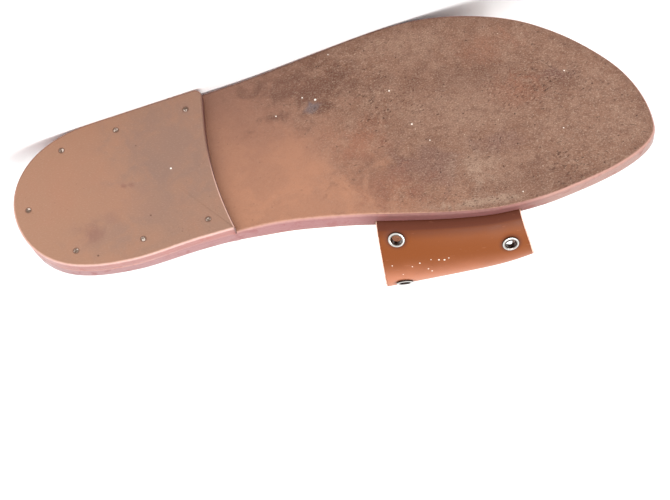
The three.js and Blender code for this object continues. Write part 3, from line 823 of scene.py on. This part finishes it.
def liftMaterial():
    material, shader, own, place = newMaterial("liftTread", Specular_IOR_Level=0.4)
    look = liftLook
    x, y, _ = putNode("ShaderNodeSeparateXYZ", {0: place})
    sway = times(calc("SUBTRACT", noise(place, 0.5, 4.0, 0.6), 0.5), 4.0)
    middle = ease(calc("ADD", x, sway), 2.0, 8.0)
    color = lay(look["base"], middle, 0.5, look["grey"])
    color = lay(color, softPatches(place, Size=0.8, Low=0.45, High=0.7, Detail=5.0), 0.4, look["warm"])
    color = layStains(color, place, liftStains, look, 0.0, 0.5)
    fibre = drawnMarks(place, Fine=24.0, Stretch=(0.5, 1.0, 1.0), Cover=0.5, Soft=0.25)
    color = lay(color, fibre, 0.08, look["pale"])
    pits = drawnMarks(place, Fine=13.0, Stretch=(0.6, 1.0, 1.0), Cover=0.69, Soft=0.05)
    color = lay(color, pits, 0.35, look["dark"])
    color = lay(color, looseSpecks(place, Size=2.5, Radius=0.06, Keep=0.85), 0.5, look["dark"])
    for dots, over in ((liftDots, "dark"), (liftFlecks, "speck")):
        color = blend(roundDots(place, onSurface(dots, lambda x: 0.0)), color, look[over])
    # a dark ring where each nail has pressed the leather in
    nearest = joined([span(place, (centre[0] / 10, centre[1] / 10, 0.0), "DISTANCE")["Value"]
                      for centre in nailCentres.values()], "MINIMUM")
    ring = ease(nearest, 0.15, 0.11)
    color = lay(color, ring, 0.8, look["dark"])
    # the rim: pale along the inner side, partly wear and partly a painted highlight on the bevel, and dark
    # along the outer side
    edge = rimWear(place, Distance=own("rimDistance"), Width=1.3, Broken=0.8)
    color = lay(color, edge, 0.75, blend(ease(y, -1.6, 0.6), look["dark"], look["rim"]))
    setSurface(shader, color, middle, 0.5, 0.62)
    under = addBump(shader, leatherGrain(place, Size=28.0, Fibre=0.6), 0.00008, 0.5)
    addBump(shader, times(calc("MAXIMUM", pits, ring), -1.0), 0.0002, 0.6, under)
    return material


def liftLine():
    # Outer side to the breast, across it, and back along the inner side to the heel
    outerX = (heel["breastAt"] - heel["corner"]) * (1 - np.cos(np.linspace(0, math.pi / 2, 110)))
    outer = np.stack([outerX, soleEdge(outerX, False)], 1)
    outerY = outer[-1, 1]
    turn = np.linspace(0, math.pi / 2, 9)[1:]
    corner = np.stack([heel["breastAt"] - heel["corner"] * (1 - np.sin(turn)),
                       outerY + heel["corner"] * (1 - np.cos(turn))], 1)
    innerX = heel["breastAt"] + heel["breastSweep"]
    innerY = float(soleEdge(innerX, True)) + heel["lip"]
    acrossY = np.linspace(outerY + heel["corner"], innerY - 1.0, 60)[1:]
    breast = np.stack([breastLine(acrossY), acrossY], 1)
    t = np.linspace(0, 1, 7)[1:, None]
    lip = lambda at: heel["lip"] * smoothStep(at, heel["breastAt"] / 2, heel["breastAt"])
    endX = innerX - 1.1
    tip, end = np.array([innerX, innerY]), np.array([endX, float(soleEdge(endX, True) + lip(endX))])
    nose = (1 - t) ** 2 * breast[-1] + 2 * t * (1 - t) * tip + t ** 2 * end
    backX = endX * (1 - np.sin(np.linspace(0, math.pi / 2, 130)))[1:-1]
    back = np.stack([backX, soleEdge(backX, True) + lip(backX)], 1)
    return np.concatenate([outer, corner, breast, nose, back])


def addLift():
    line = liftLine()
    height = np.full(len(line), sole["liftThickness"])
    wall = roundedWall(heel["round"], heel["topRound"], np.outer((0.28, 0.5, 0.72), height), height)
    points, faces, ring, attributes = slab(line, [0.7], wall, [0.6], lambda flat, inset: height,
                                           heel["spine"], 14, np.zeros_like)
    attributes["shade"] = smoothStep(points[:, 0] - breastLine(points[:, 1]), -1.2, -0.4)
    addPiece("heel_lift_leather", points, faces, [liftMaterial(), wallMaterial("liftWall", liftWallLook)],
             attributes, np.where(ring < 1, 0, 1), ["heel_lift"])


addLift()
print("heel lift made")


def revolved(profile, sides, flutes=0, flute=0.0):
    # Closed ring of a radius and height profile round the z axis; flutes dent it in turns
    turn = np.linspace(0, 2 * math.pi, sides, endpoint=False)
    radius, height = np.array(profile, float).T
    dent = 1 - flute * np.maximum(0, np.cos(turn * flutes)) ** 6 if flutes else np.ones(sides)
    return np.stack([np.outer(radius, np.cos(turn) * dent), np.outer(radius, np.sin(turn) * dent),
                     np.outer(height, np.ones(sides))], -1)


def frameFrom(axis):
    side = unit(np.cross(axis, (1.0, 0.3, 0.2)))
    return np.stack([side, np.cross(axis, side), axis])


nailLook = {
    "head": 1.02,
    "rise": 0.15,
    "shank": 0.62,
    "sides": 24,
    "rust": (0.15, 0.1, 0.075, 1),
    "steel": (0.62, 0.52, 0.45, 1),
}


def nailMaterial():
    material, shader, _, place = newMaterial("nailSteel", Metallic=1.0)
    # paler bare-steel spots on the rusty heads: partly real wear, partly a painted glint
    spots = softPatches(place, Size=11.0, Low=0.5, High=0.6)
    setSurface(shader, blend(spots, nailLook["rust"], nailLook["steel"]), spots, 0.5, 0.3)
    addBump(shader, noise(place, 30.0, 3.0), 0.0001, 0.4)
    return material


def addNails():
    head, rise, shank = nailLook["head"], nailLook["rise"], nailLook["shank"]
    dome = [(head * out, -rise * up) for out, up in ((0, 1), (0.35, 0.96), (0.65, 0.75), (0.88, 0.35))]
    profile = [*dome, (head, 0.06), (head, 0.6), (shank, 0.66), (shank, 3.2), (0.0, 4.2)]
    material = nailMaterial()
    shape = revolved(profile, nailLook["sides"])
    for name, centre in nailCentres.items():
        points = shape + np.array([centre[0], centre[1], 0.0])
        addPiece(name + "_steel", points, gridFaces(len(profile), nailLook["sides"], True), [material],
                 replaces=[name], crease=50)


addNails()
print("nails made")

# Insole: thin smooth leather with a line of stitches in a groove

insole = {
    "thickness": 1.7,
    "bottom": 6.75,
    "inset": 0.8,
    "grooveAt": 4.7,
    "grooveDepth": 0.32,
    "stitchLength": 2.7,
    "stitchPitch": 4.4,
    "stitchWidth": 0.62,
    "dish": 0.45,
    # heel, ball, outer border and big toe: depth, middle x and y, reach x and y
    "pressed": [(1, 38, -1, 26, 17), (1, 172, -12, 24, 26), (0.5, 105, -26, 40, 12), (0.55, 224, -2, 9, 11)],
    "wallHeights": [0.0, 0.12, 0.5, 0.9, 1.15, 1.35, 1.52, 1.64, 1.7],
    "wallRounding": [0.12, 0.0, 0.0, 0.0, 0.03, 0.11, 0.24, 0.4, 0.6],
    "topRings": [1.8, 2.8, 3.6, 3.95, 4.2, 4.45, 4.7, 4.95, 5.2, 5.45, 5.9, 7, 9, 12, 15],
}
insoleLook = {
    "base": tone(186, 158, 148),
    "worn": tone(160, 124, 108),
    "deep": tone(138, 98, 82),
    "edge": tone(200, 174, 162),
    "side": tone(150, 88, 66),
    "groove": tone(146, 106, 90),
    "thread": tone(74, 46, 34),
    "threadWorn": tone(122, 84, 62),
}


def footPrint(x, y):
    # Where a foot presses: bell shapes added up
    press = [depth * np.exp(-((x - middleX) / reachX) ** 2 - ((y - middleY) / reachY) ** 2)
             for depth, middleX, middleY, reachX, reachY in insole["pressed"]]
    return np.clip(sum(press), 0, 1)


def insoleMaterial():
    material, shader, own, place = newMaterial("insoleTop", Specular_IOR_Level=0.45)
    look = insoleLook
    press = own("press")
    cloud = noise(place, 0.8, 5.0, 0.6)
    pressed = ease(calc("ADD", press, calc("MULTIPLY_ADD", cloud, 0.7, -0.35)), 0.15, 1.0)
    color = lay(look["base"], pressed, 0.75, look["worn"])
    patches = softPatches(place, Size=1.2, Low=0.48, High=0.7)
    color = lay(color, times(patches, pressed), 0.4, look["deep"])
    rim = own("rimDistance")
    groove = ease(calc("ABSOLUTE", calc("SUBTRACT", rim, insole["grooveAt"])), 0.9, 0.2)
    color = lay(color, groove, 0.7, look["groove"])
    edge = rimWear(place, Distance=calc("SUBTRACT", rim, insole["inset"]), Width=1.6, Broken=0.5)
    color = lay(color, edge, 0.8, look["edge"])
    creases = drawnMarks(place, Fine=3.0, Stretch=(1.6, 0.35, 1.0), Cover=0.58, Soft=0.12)
    color = lay(color, times(creases, press), 0.3, look["deep"])
    setSurface(shader, color, pressed, 0.48, 0.34)
    under = addBump(shader, leatherGrain(place, Size=22.0, Fibre=0.35), 0.00012, 0.45)
    addBump(shader, times(creases, -1.0), 0.0002, 0.35, under)
    return material


def insoleTop(x):
    return treadHeight(x) + insole["bottom"] + insole["thickness"]


def addInsole():
    line, inner = soleLine(spanMarks)
    edge = np.full(len(line), insole["inset"])
    notched = inSpan(line[:, 0]) & ~inner

    def wallInsetAt(height):
        # On the outer side the strap comes up inside the rim, and the edge follows its bend
        bend = strap["bend"][1] * strap["arch"]
        reach = bend - strap["thickness"] / 2 - sole["clearance"]
        up = insole["bottom"] + height - (sole["thickness"] - strap["thickness"] / 2)
        out = math.sqrt(max(reach ** 2 - (bend - up) ** 2, 0))
        return np.where(notched, strap["outerInset"] - out, edge)

    heights, rounding = insole["wallHeights"], insole["wallRounding"]
    wall = (np.stack([wallInsetAt(height) + inset for height, inset in zip(heights, rounding)]),
            np.outer(heights, np.ones(len(line))))

    def topHeight(flat, inset):
        groove = insole["grooveDepth"] * smoothStep(0.75 - np.abs(inset - insole["grooveAt"]), 0, 0.6)
        dish = insole["dish"] * footPrint(flat[:, 0], flat[:, 1]) * smoothStep(inset, 5, 14)
        return insole["thickness"] - groove - dish

    points, faces, ring, attributes = slab(line, [1.2, 5], wall, insole["topRings"], topHeight,
                                           sole["spine"], 12, lambda x: treadHeight(x) + insole["bottom"])
    attributes["press"] = footPrint(points[:, 0], points[:, 1])
    side = fibreMaterial("insoleSide", 0.45, insoleLook["side"], insoleLook["worn"], (0.45, 0.6), 0.4,
                         Fine=16.0, Stretch=(0.12, 0.12, 1.5), Cover=0.45, Soft=0.25)
    addPiece("insole_leather_footbed", points, faces, [insoleMaterial(), side], attributes,
             np.where(ring < 5, 1, 0), ["insole"])


def addStitches():
    # Spindle-shaped stitches, half sunk in the groove, at an even pitch round the insole
    line, _ = soleLine()
    ring = line - loopNormals(line) * insole["grooveAt"]
    closed = np.concatenate([ring, ring[:1]])
    walked = np.concatenate([[0], np.cumsum(np.linalg.norm(np.diff(closed, axis=0), axis=1))])
    whole = walked[-1]
    count = int(round(whole / insole["stitchPitch"]))

    def walk(to):
        return np.stack([np.interp(to, walked, column, period=whole) for column in closed.T], 1)

    at = (np.arange(count) + 0.5) * whole / count
    centre = walk(at)
    along = unit(walk(at + 0.5) - centre)
    across = np.stack([-along[:, 1], along[:, 0]], 1)
    rings, sides = 7, 8
    share = np.linspace(-1, 1, rings)
    turn = np.linspace(0, 2 * math.pi, sides, endpoint=False)
    fat = np.sqrt(np.maximum(0, 1 - np.abs(share) ** 2.6)) * insole["stitchWidth"] / 2
    localX = np.outer(share * insole["stitchLength"] / 2, np.ones(sides))
    localY = np.outer(fat, np.cos(turn))
    localZ = np.outer(fat * 0.85, np.sin(turn)) - 0.22
    flat = (centre[:, None, None, :] + localX[None, :, :, None] * along[:, None, None, :]
            + localY[None, :, :, None] * across[:, None, None, :])
    z = insoleTop(flat[..., 0]) + localZ[None]
    points = trimSides(np.concatenate([flat, z[..., None]], -1))
    faces = manyFaces(gridFaces(rings, sides, True), rings * sides, count)
    thread = fibreMaterial("stitchThread", 0.35, insoleLook["thread"], insoleLook["threadWorn"], (0.5, 0.7),
                           0.6, Fine=40.0, Stretch=(0.6, 1.0, 1.0), Cover=0.4, Soft=0.3)
    addPiece("insole_stitches", points, faces, [thread], crease=60)


addInsole()
addStitches()
print("insole and stitches made")

# Strap: one wide band over the instep, both ends held between insole and outsole

innerRows = {"at": [0, 0.5, 1], "bend": [.09, .088, .086], "bendTo": [53, 52, 50], "wall": [.68, .54, .45],
             "wallTo": [88, 84, 80], "shoulder": [.4, .28, .15], "shoulderTo": [160, 159, 158]}
outerRows = {"at": [0, 0.5, 1], "bend": [.054, .054, .054], "bendTo": [81, 81, 81], "wall": [2.2, 1.4, .7],
             "wallTo": [93, 94, 95], "shoulder": [.38, .29, .22], "shoulderTo": [160, 159, 158]}
strapLook = {
    "base": tone(124, 62, 16),
    "light": tone(188, 118, 86),
    "crest": tone(150, 84, 42),
    "dark": tone(84, 38, 24),
    "bend": tone(100, 46, 14),
    "fleck": tone(240, 222, 206),
    "cut": tone(232, 190, 170),
    "cutDark": tone(170, 110, 84),
    "lining": tone(182, 130, 98),
    "liningDark": tone(140, 92, 66),
}
# Pale specks seen on the strap's inner side: x, y, z and radius in cm
strapFlecks = [(14.14, 3.64, 2.15, 0.03), (14.51, 3.79, 2.73, 0.025), (14.9, 3.75, 2.22, 0.03),
               (15.2, 3.74, 2.02, 0.035), (15.64, 3.73, 1.85, 0.025), (15.94, 3.77, 1.88, 0.04),
               (16.15, 3.79, 1.9, 0.045), (16.32, 3.78, 1.81, 0.03), (15.5, 3.84, 2.41, 0.035),
               (15.63, 3.87, 2.58, 0.035)]


def sideProfile(rows, u):
    # Out and up of half a section, from the tab's end: level, then three arcs in a row
    value = {key: smoothCurve(np.array(rows["at"], float), np.array(column, float), u)[:, None]
             for key, column in rows.items()}
    out = [np.linspace(-strap["tab"], 0, 9)[None, :] * np.ones((len(u), 1))]
    up = [np.zeros((len(u), 9))]
    heading = np.zeros((len(u), 1))
    for radius, end, steps in (("bend", "bendTo", 9), ("wall", "wallTo", 20), ("shoulder", "shoulderTo", 22)):
        size = value[radius] * strap["arch"]
        goal = np.radians(value[end])
        angle = heading + (goal - heading) * np.linspace(0, 1, steps + 1)[1:]
        out.append(out[-1][:, -1:] + size * (np.sin(angle) - np.sin(heading)))
        up.append(up[-1][:, -1:] + size * (np.cos(heading) - np.cos(angle)))
        heading = goal
    return np.concatenate(out, 1), np.concatenate(up, 1), heading[:, 0]


def strapMiddle(u):
    # Middle surface at shares u of the width: both half sections and a cubic crest between
    u = np.asarray(u, float)
    x = strap["backEdge"] + u * strap["width"]
    lean = strap["lean"][0] + (strap["lean"][1] - strap["lean"][0]) * u
    level = treadHeight(x) + sole["thickness"] - strap["thickness"] / 2
    rim = soleEdge(x, True)
    edgePoint = np.stack([x, rim, treadHeight(x) + sole["thickness"]], 1)
    innerStart = trimSides(edgePoint)[:, 1] - strap["innerInset"]
    outerStart = soleEdge(x, False) + strap["outerInset"]
    outerOut, outerUp, outerTurn = sideProfile(outerRows, u)
    innerOut, innerUp, innerTurn = sideProfile(innerRows, u)

    def place(y, up):
        forward = lean[:, None] * strap["leanHeight"] * (1 - np.exp(-up / strap["leanHeight"]))
        return np.stack([x[:, None] + forward, y, level[:, None] + up], -1)

    def heading(angle, side, end):
        slope = lean * np.exp((level - end[:, 2]) / strap["leanHeight"])
        return np.stack([slope * np.sin(angle), side * np.cos(angle), np.sin(angle)], 1)

    outer = place(outerStart[:, None] - outerOut, outerUp)
    inner = place(innerStart[:, None] + innerOut, innerUp)[:, ::-1]
    start, end = outer[:, -1], inner[:, 0]
    handle = strap["crestHandle"] * np.linalg.norm(end - start, axis=1)[:, None]
    leave, arrive = heading(outerTurn, -1, start), heading(innerTurn, 1, end)
    t = np.linspace(0, 1, 56)[1:-1][None, :, None]
    first, second = start + leave * handle, end + arrive * handle
    crest = ((1 - t) ** 3 * start[:, None] + 3 * t * (1 - t) ** 2 * first[:, None]
             + 3 * t ** 2 * (1 - t) * second[:, None] + t ** 3 * end[:, None])
    line = np.concatenate([outer, crest, inner], 1)
    # over the instep the front edge draws back, most in the middle and not at the sole
    middle, half = (innerStart + outerStart) / 2, (innerStart - outerStart) / 2
    aside = smoothStep(np.abs(line[..., 1] - middle[:, None]) / half[:, None], 0.2, 1.25)
    rise = smoothStep(line[..., 2] - level[:, None], 0, strap["scoopRise"])
    line[..., 0] -= strap["scoop"] * u[:, None] ** 2 * (1 - aside) * rise
    return line


def strapNormals(u):
    step = 0.004
    ahead, behind, here = strapMiddle(u + step), strapMiddle(u - step), strapMiddle(u)
    along = np.gradient(here, axis=1)
    return unit(np.cross(ahead - behind, along))


eyeletNames = sorted(name for name in frame["nodes"] if name.startswith("eyelet"))


def eyeletFrames():
    # Middle and axis of each CAD eyelet: its thinnest direction, turned away from the foot
    spread = strapMiddle(np.linspace(0, 1, 28))
    normals = strapNormals(np.linspace(0, 1, 28))
    found = {}
    for name in eyeletNames:
        data = frame["nodes"][name].data
        flat = np.empty(len(data.vertices) * 3, np.float32)
        data.vertices.foreach_get("co", flat)
        points = toShoe(flat.reshape(-1, 3))
        centre = points.mean(0)
        _, _, turned = np.linalg.svd(points - centre, full_matrices=False)
        axis = turned[2]
        nearest = np.linalg.norm(spread - centre, axis=-1).argmin()
        axis = axis * np.sign(axis.dot(normals.reshape(-1, 3)[nearest]))
        spans = (points - centre) @ turned.T
        found[name] = (centre + (spans.max(0) + spans.min(0)) / 2 @ turned, axis)
    return found


eyelets = {
    "outer": 3.3,
    "back": 3.1,
    "bore": 2.0,
    "barrel": 2.32,
    "proud": 0.4,
    "sides": 44,
    "press": 0.22,
}
nickelLook = {
    "foot": (0.3, 0.28, 0.26, 1),
    "crown": (0.64, 0.62, 0.59, 1),
    "reflectionPatches": (0.16, 0.13, 0.12, 1),
    "bore": (0.05, 0.035, 0.03, 1),
}
eyeletPlaces = eyeletFrames()


def strapMaterial():
    material, shader, own, place = newMaterial("strapFace", Specular_IOR_Level=0.2)
    look = strapLook
    height = own("overSole")
    cloud = noise(place, 0.6, 4.0, 0.6)
    # from the sole up, in mm: a painted dark line and painted shade on the bend by the sole, the face, a
    # painted highlight towards its shoulder and the crest back in the leather's mid tone
    # painted highlight: the face turns paler and pinker towards the shoulder, where grazing light falls, then
    # back to a mid tone over the crest
    tint = ease(calc("MULTIPLY_ADD", cloud, 9.0, height), 15.0, 31.0)
    color = lay(look["base"], tint, 0.8, look["light"])
    color = blend(ease(calc("MULTIPLY_ADD", cloud, 6.0, height), 36.0, 48.0), color, look["crest"])
    # painted shade: darker on the bend next to the sole, and a dark line where the strap leaves the sole
    color = blend(ease(calc("MULTIPLY_ADD", cloud, 2.0, height), 5.0, 1.0), color, look["bend"])
    color = lay(color, ease(height, 0.5, 0.05), 0.7, look["dark"])
    # painted shade: a dark ring on the leather round each eyelet's rim
    color = lay(color, ease(own("eyeletDistance"), 5.0, 3.3), 0.55, look["dark"])
    edge = rimWear(place, Distance=own("edgeDistance"), Width=1.2, Broken=0.8)
    color = lay(color, edge, 0.45, look["dark"])
    color = blend(roundDots(place, strapFlecks), color, look["fleck"])
    scuffs = drawnMarks(place, Fine=9.0, Stretch=(0.3, 1.0, 1.0), Cover=0.68, Soft=0.06)
    color = lay(color, scuffs, 0.1, look["light"])
    feed(shader["Base Color"], color)
    feed(shader["Roughness"], ease(cloud, 0.3, 0.7, 0.36, 0.46))
    under = addBump(shader, leatherGrain(place, Size=24.0, Fibre=0.3), 0.00006, 0.4)
    addBump(shader, scuffs, 0.0001, 0.3, under)
    return material


def liningMaterial():
    material, shader, _, place = newMaterial("strapLining", Specular_IOR_Level=0.35)
    look = strapLook
    patches = softPatches(place, Size=0.9, Low=0.45, High=0.7)
    color = lay(look["lining"], patches, 0.5, look["liningDark"])
    fibre = drawnMarks(place, Fine=20.0, Stretch=(0.8, 0.6, 0.6), Cover=0.5, Soft=0.2)
    color = lay(color, fibre, 0.25, look["liningDark"])
    setSurface(shader, color, patches, 0.62, 0.8)
    addBump(shader, leatherGrain(place, Size=20.0, Fibre=0.7), 0.00015, 0.5)
    return material


def strapRing():
    # Share of the width and height over the middle, once round the band's cross section
    half, corner, width = strap["thickness"] / 2, strap["edgeRound"], strap["width"]
    face = np.linspace(corner, width - corner, int(width / strap["cell"]))
    turn = np.linspace(0, math.pi / 2, 5)[1:]
    out, down = corner * (1 - np.sin(turn)), corner * (1 - np.cos(turn))
    top = np.stack([face, np.full(len(face), half)], 1)
    front, back = np.stack([width - out, half - down], 1), np.stack([out, -half + down], 1)
    mirrored = lambda part: (part * (1, -1))[::-1]
    return np.concatenate([top, front, mirrored(front), mirrored(top), back, mirrored(back)])


def addStrap():
    ring = strapRing()
    u = ring[:, 0] / strap["width"]
    middle, normal = strapMiddle(u), strapNormals(u)
    centres = np.stack([centre for centre, _ in eyeletPlaces.values()])
    reach = np.linalg.norm(middle[:, :, None, :] - centres, axis=-1).min(-1)
    height = middle[..., 2] - treadHeight(strap["backEdge"] + u * strap["width"])[:, None] - sole["thickness"]
    # the leather gives a little under each rim, and lies very slightly uneven elsewhere
    dent = eyelets["press"] * smoothStep(-reach, -5.2, -3.2)
    wave = 0.12 * np.sin(middle[..., 1] / 7.5 + middle[..., 0] / 23) * smoothStep(height, 6, 20)
    outside = np.sign(ring[:, 1])[:, None]
    offset = ring[:, 1][:, None] - dent * outside - np.abs(wave)
    points = middle + normal * offset[..., None]
    columns = points.shape[1]
    # the last row of faces joins the last ring to the first
    faces = gridFaces(len(ring) + 1, columns, False)
    rowOf = faces[:, 0] // columns
    faces, nextRow = faces % (len(ring) * columns), (rowOf + 1) % len(ring)
    inward = np.minimum(ring[:, 0], strap["width"] - ring[:, 0])
    isBroad = inward >= strap["edgeRound"] - 1e-6
    isFace, isLining = (isBroad & (ring[:, 1] * side > 0) for side in (1, -1))
    part = np.where(isFace[rowOf] & isFace[nextRow], 0, np.where(isLining[rowOf] & isLining[nextRow], 2, 1))
    edge = np.outer(inward, np.ones(columns))
    attributes = {"overSole": height.ravel(), "eyeletDistance": reach.ravel(), "edgeDistance": edge.ravel()}
    cut = fibreMaterial("strapCut", 0.4, strapLook["cut"], strapLook["cutDark"], (0.6, 0.8), 0.4,
                        Fine=18.0, Stretch=(1.0, 0.3, 0.3), Cover=0.5, Soft=0.2)
    band = addPiece("upper_band_leather", points, faces, [strapMaterial(), cut, liningMaterial()],
                    attributes, part, ["upper_band"], closeHoles=True)
    punch(band)


def punch(band):
    # Holes for the eyelets' barrels, cut by round punches joined in one mesh
    radius, reach, sides = eyelets["barrel"] + 0.05, 3.0, 28
    rod = revolved([(0, -reach), (radius, -reach), (radius, reach), (0, reach)], sides)
    rods = np.stack([rod @ frameFrom(axis) + centre for centre, axis in eyeletPlaces.values()])
    mesh = makeMesh("punches", rods, manyFaces(gridFaces(4, sides, True), rod[..., 0].size, len(rods)))
    mergePoints(mesh)
    punches = addObject("punches", mesh)
    cut = band.modifiers.new("punch", "BOOLEAN")
    cut.operation = "DIFFERENCE"
    cut.solver = "EXACT"
    cut.object = punches
    graph = bpy.context.evaluated_depsgraph_get()
    done = bpy.data.meshes.new_from_object(band.evaluated_get(graph))
    band.modifiers.clear()
    before = band.data
    band.data = done
    bpy.data.meshes.remove(before)
    bpy.data.objects.remove(punches)
    bpy.data.meshes.remove(mesh)
    print("strap punched,", len(done.polygons), "faces")


addStrap()
print("strap made")


def nickelMaterial():
    material, shader, own, place = newMaterial("nickelEyelet", Metallic=1.0, Specular_IOR_Level=0.5)
    # painted reflection and shade: a bright band on the crown, a dimmer foot and dark patches inside the
    # crown stand in for the lamps and the dark room mirrored in the nickel, and the bore and the outer edge
    # of the foot are painted dark as shade
    look = nickelLook
    across = own("rimAcross")
    reflectionPatches = softPatches(place, Size=5.0, Low=0.47, High=0.6)
    crown = ease(calc("ABSOLUTE", calc("SUBTRACT", across, 0.66)), 0.28, 0.1)
    color = blend(crown, look["foot"], look["crown"])
    color = lay(color, times(reflectionPatches, ease(across, 0.55, 0.35)), 0.85, look["reflectionPatches"])
    dark = calc("MAXIMUM", ease(across, 0.3, 0.12), ease(across, 0.84, 0.95))
    color = blend(dark, color, look["bore"])
    setSurface(shader, color, reflectionPatches, 0.16, 0.34)
    addBump(shader, drawnMarks(place, Fine=30.0, Stretch=(1.0, 0.3, 1.0), Cover=0.5, Soft=0.2), 0.00003, 0.3)
    return material


def addEyelets():
    # Rolled rim on the show side, barrel through the leather, and a back rolled over in petals
    half = strap["thickness"] / 2
    bore, barrel, outer, back = eyelets["bore"], eyelets["barrel"], eyelets["outer"], eyelets["back"]
    low, top = half - 0.08, half + eyelets["proud"]
    turn = np.radians(np.linspace(-10, 190, 13))
    arch = low + 0.05 + (top - low - 0.05) * np.maximum(np.sin(turn), -0.05)
    show = np.stack([(outer + bore) / 2 + (outer - bore) / 2 * np.cos(turn), arch], 1)
    under = np.stack([(back + bore) / 2 - (back - bore) / 2 * np.cos(turn), -arch], 1)
    foot = low - 0.02
    profile = np.array([(barrel, foot), (outer - 0.2, foot), *show, *under,
                        (back - 0.2, -foot), (barrel, -foot)])
    sides = eyelets["sides"]
    plain = revolved(profile, sides)
    petals = revolved(profile, sides, 6, 0.05)
    shape = np.where((profile[:, 1] < -half + 0.02)[:, None, None], petals, plain)
    closed = np.concatenate([shape, shape[:1]])
    across = (np.hypot(closed[..., 0], closed[..., 1]).ravel() - bore) / (outer - bore)
    material = nickelMaterial()
    for name, (centre, axis) in eyeletPlaces.items():
        points = closed @ frameFrom(axis) + centre
        addPiece(name + "_nickel", points, gridFaces(len(closed), sides, True), [material],
                 {"rimAcross": across}, replaces=[name], crease=50)


addEyelets()
print("eyelets made")


def addFloor():
    half = studio["floorHalf"]
    mesh = bpy.data.meshes.new("studioFloor")
    corners = [(-half, -half, 0), (half, -half, 0), (half, half, 0), (-half, half, 0)]
    mesh.from_pydata(corners, [], [(0, 1, 2, 3)])
    material, *_ = newMaterial("paleFloor", Base_Color=studio["floorColor"], Roughness=0.9,
                               Specular_IOR_Level=0.2)
    mesh.materials.append(material)
    addObject("studioFloor", mesh)


addFloor()
